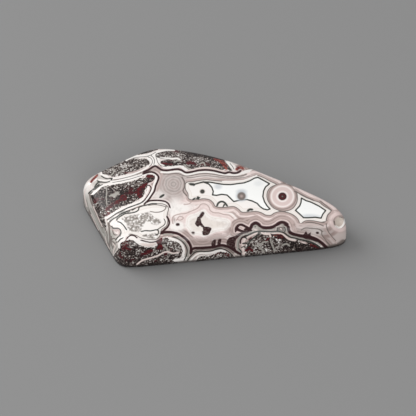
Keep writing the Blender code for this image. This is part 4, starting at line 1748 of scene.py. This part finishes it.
@dataclass
class Cabochon:
    """The stone: its form, the lace that runs through it, and its finish."""

    form: CabochonForm
    pattern: LacePattern
    finish: PolishedAgate

    def build(self) -> bpy.types.Object:
        """Build the stone in place of the plain solid.

        Returns:
            The stone, dressed.
        """
        mesh, points = self.form.build_mesh("lace_agate_stone")
        self.pattern.paint(mesh, points)
        self.pattern.store(mesh, FROM_FOOT, self.form.from_foot(points))
        mesh.materials.append(self.finish.build())
        stone = bpy.data.objects.new("lace_agate_stone", mesh)
        bpy.context.scene.collection.objects.link(stone)
        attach(stone, "root")
        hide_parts(NODE)
        return stone


@dataclass(frozen=True)
class Softbox:
    """One studio light: where it hangs and what it looks at in metres, its width and its power."""

    name: str
    place: tuple[float, float, float]
    aim: tuple[float, float, float]
    width: float
    power: float


@dataclass
class Studio:
    """A plain mid-grey floor and plain soft light, in metres."""

    floor_colour: Colour = srgb(142, 142, 142)
    floor_size: float = 4.0
    floor_drop: float = 0.00002
    sky_colour: Colour = (1.0, 1.0, 1.0, 1.0)
    sky_strength: float = 0.50
    lights: tuple[Softbox, ...] = (
        Softbox("left_softbox", (-0.62, 0.16, 0.50), (0.0, 0.0, 0.0), 0.70, 4.6),
        Softbox("front_softbox", (0.20, -0.60, 0.30), (0.0, 0.0, 0.0), 0.60, 2.2),
    )

    def build_floor(self) -> bpy.types.Object:
        """Lay the floor just under the stone.

        Returns:
            The floor.
        """
        half = self.floor_size / 2.0
        mesh = bpy.data.meshes.new("studio_floor")
        corners = [(-half, -half, 0), (half, -half, 0), (half, half, 0), (-half, half, 0)]
        mesh.from_pydata(corners, [], [(0, 1, 2, 3)])
        floor = bpy.data.objects.new("studio_floor", mesh)
        floor.location.z = -self.floor_drop
        material = bpy.data.materials.new("matt_paper")
        material.use_nodes = True
        shader = material.node_tree.nodes["Principled BSDF"]
        shader.inputs["Base Color"].default_value = self.floor_colour
        shader.inputs["Roughness"].default_value = 1.0
        shader.inputs["Specular IOR Level"].default_value = 0.0
        mesh.materials.append(material)
        bpy.context.scene.collection.objects.link(floor)
        return floor

    def build_lights(self) -> None:
        """Hang the softboxes and light the sky."""
        for box in self.lights:
            data = bpy.data.lights.new(box.name, "AREA")
            data.shape = "DISK"
            data.size = box.width
            data.energy = box.power
            light = bpy.data.objects.new(box.name, data)
            light.location = box.place
            towards = Vector(box.aim) - Vector(box.place)
            light.rotation_mode = "QUATERNION"
            light.rotation_quaternion = towards.to_track_quat("-Z", "Y")
            bpy.context.scene.collection.objects.link(light)
        world = bpy.data.worlds.new("studio_sky")
        world.use_nodes = True
        background = world.node_tree.nodes["Background"]
        background.inputs["Color"].default_value = self.sky_colour
        background.inputs["Strength"].default_value = self.sky_strength
        bpy.context.scene.world = world
        bpy.context.scene.view_settings.view_transform = "Standard"
        bpy.context.scene.view_settings.look = "None"


def main() -> None:
    """Build the camera, the stone and the studio."""
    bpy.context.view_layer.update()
    view = PhotoView()
    view.build_camera()
    stone = Cabochon(CabochonForm(), LacePattern(view), PolishedAgate()).build()
    LOG.info("%s: %d faces", stone.name, len(stone.data.polygons))
    studio = Studio()
    floor = studio.build_floor()
    studio.build_lights()
    LOG.info("%s and %d softboxes", floor.name, len(studio.lights))


if __name__ == "__main__":
    logging.basicConfig(level=logging.INFO)
    main()
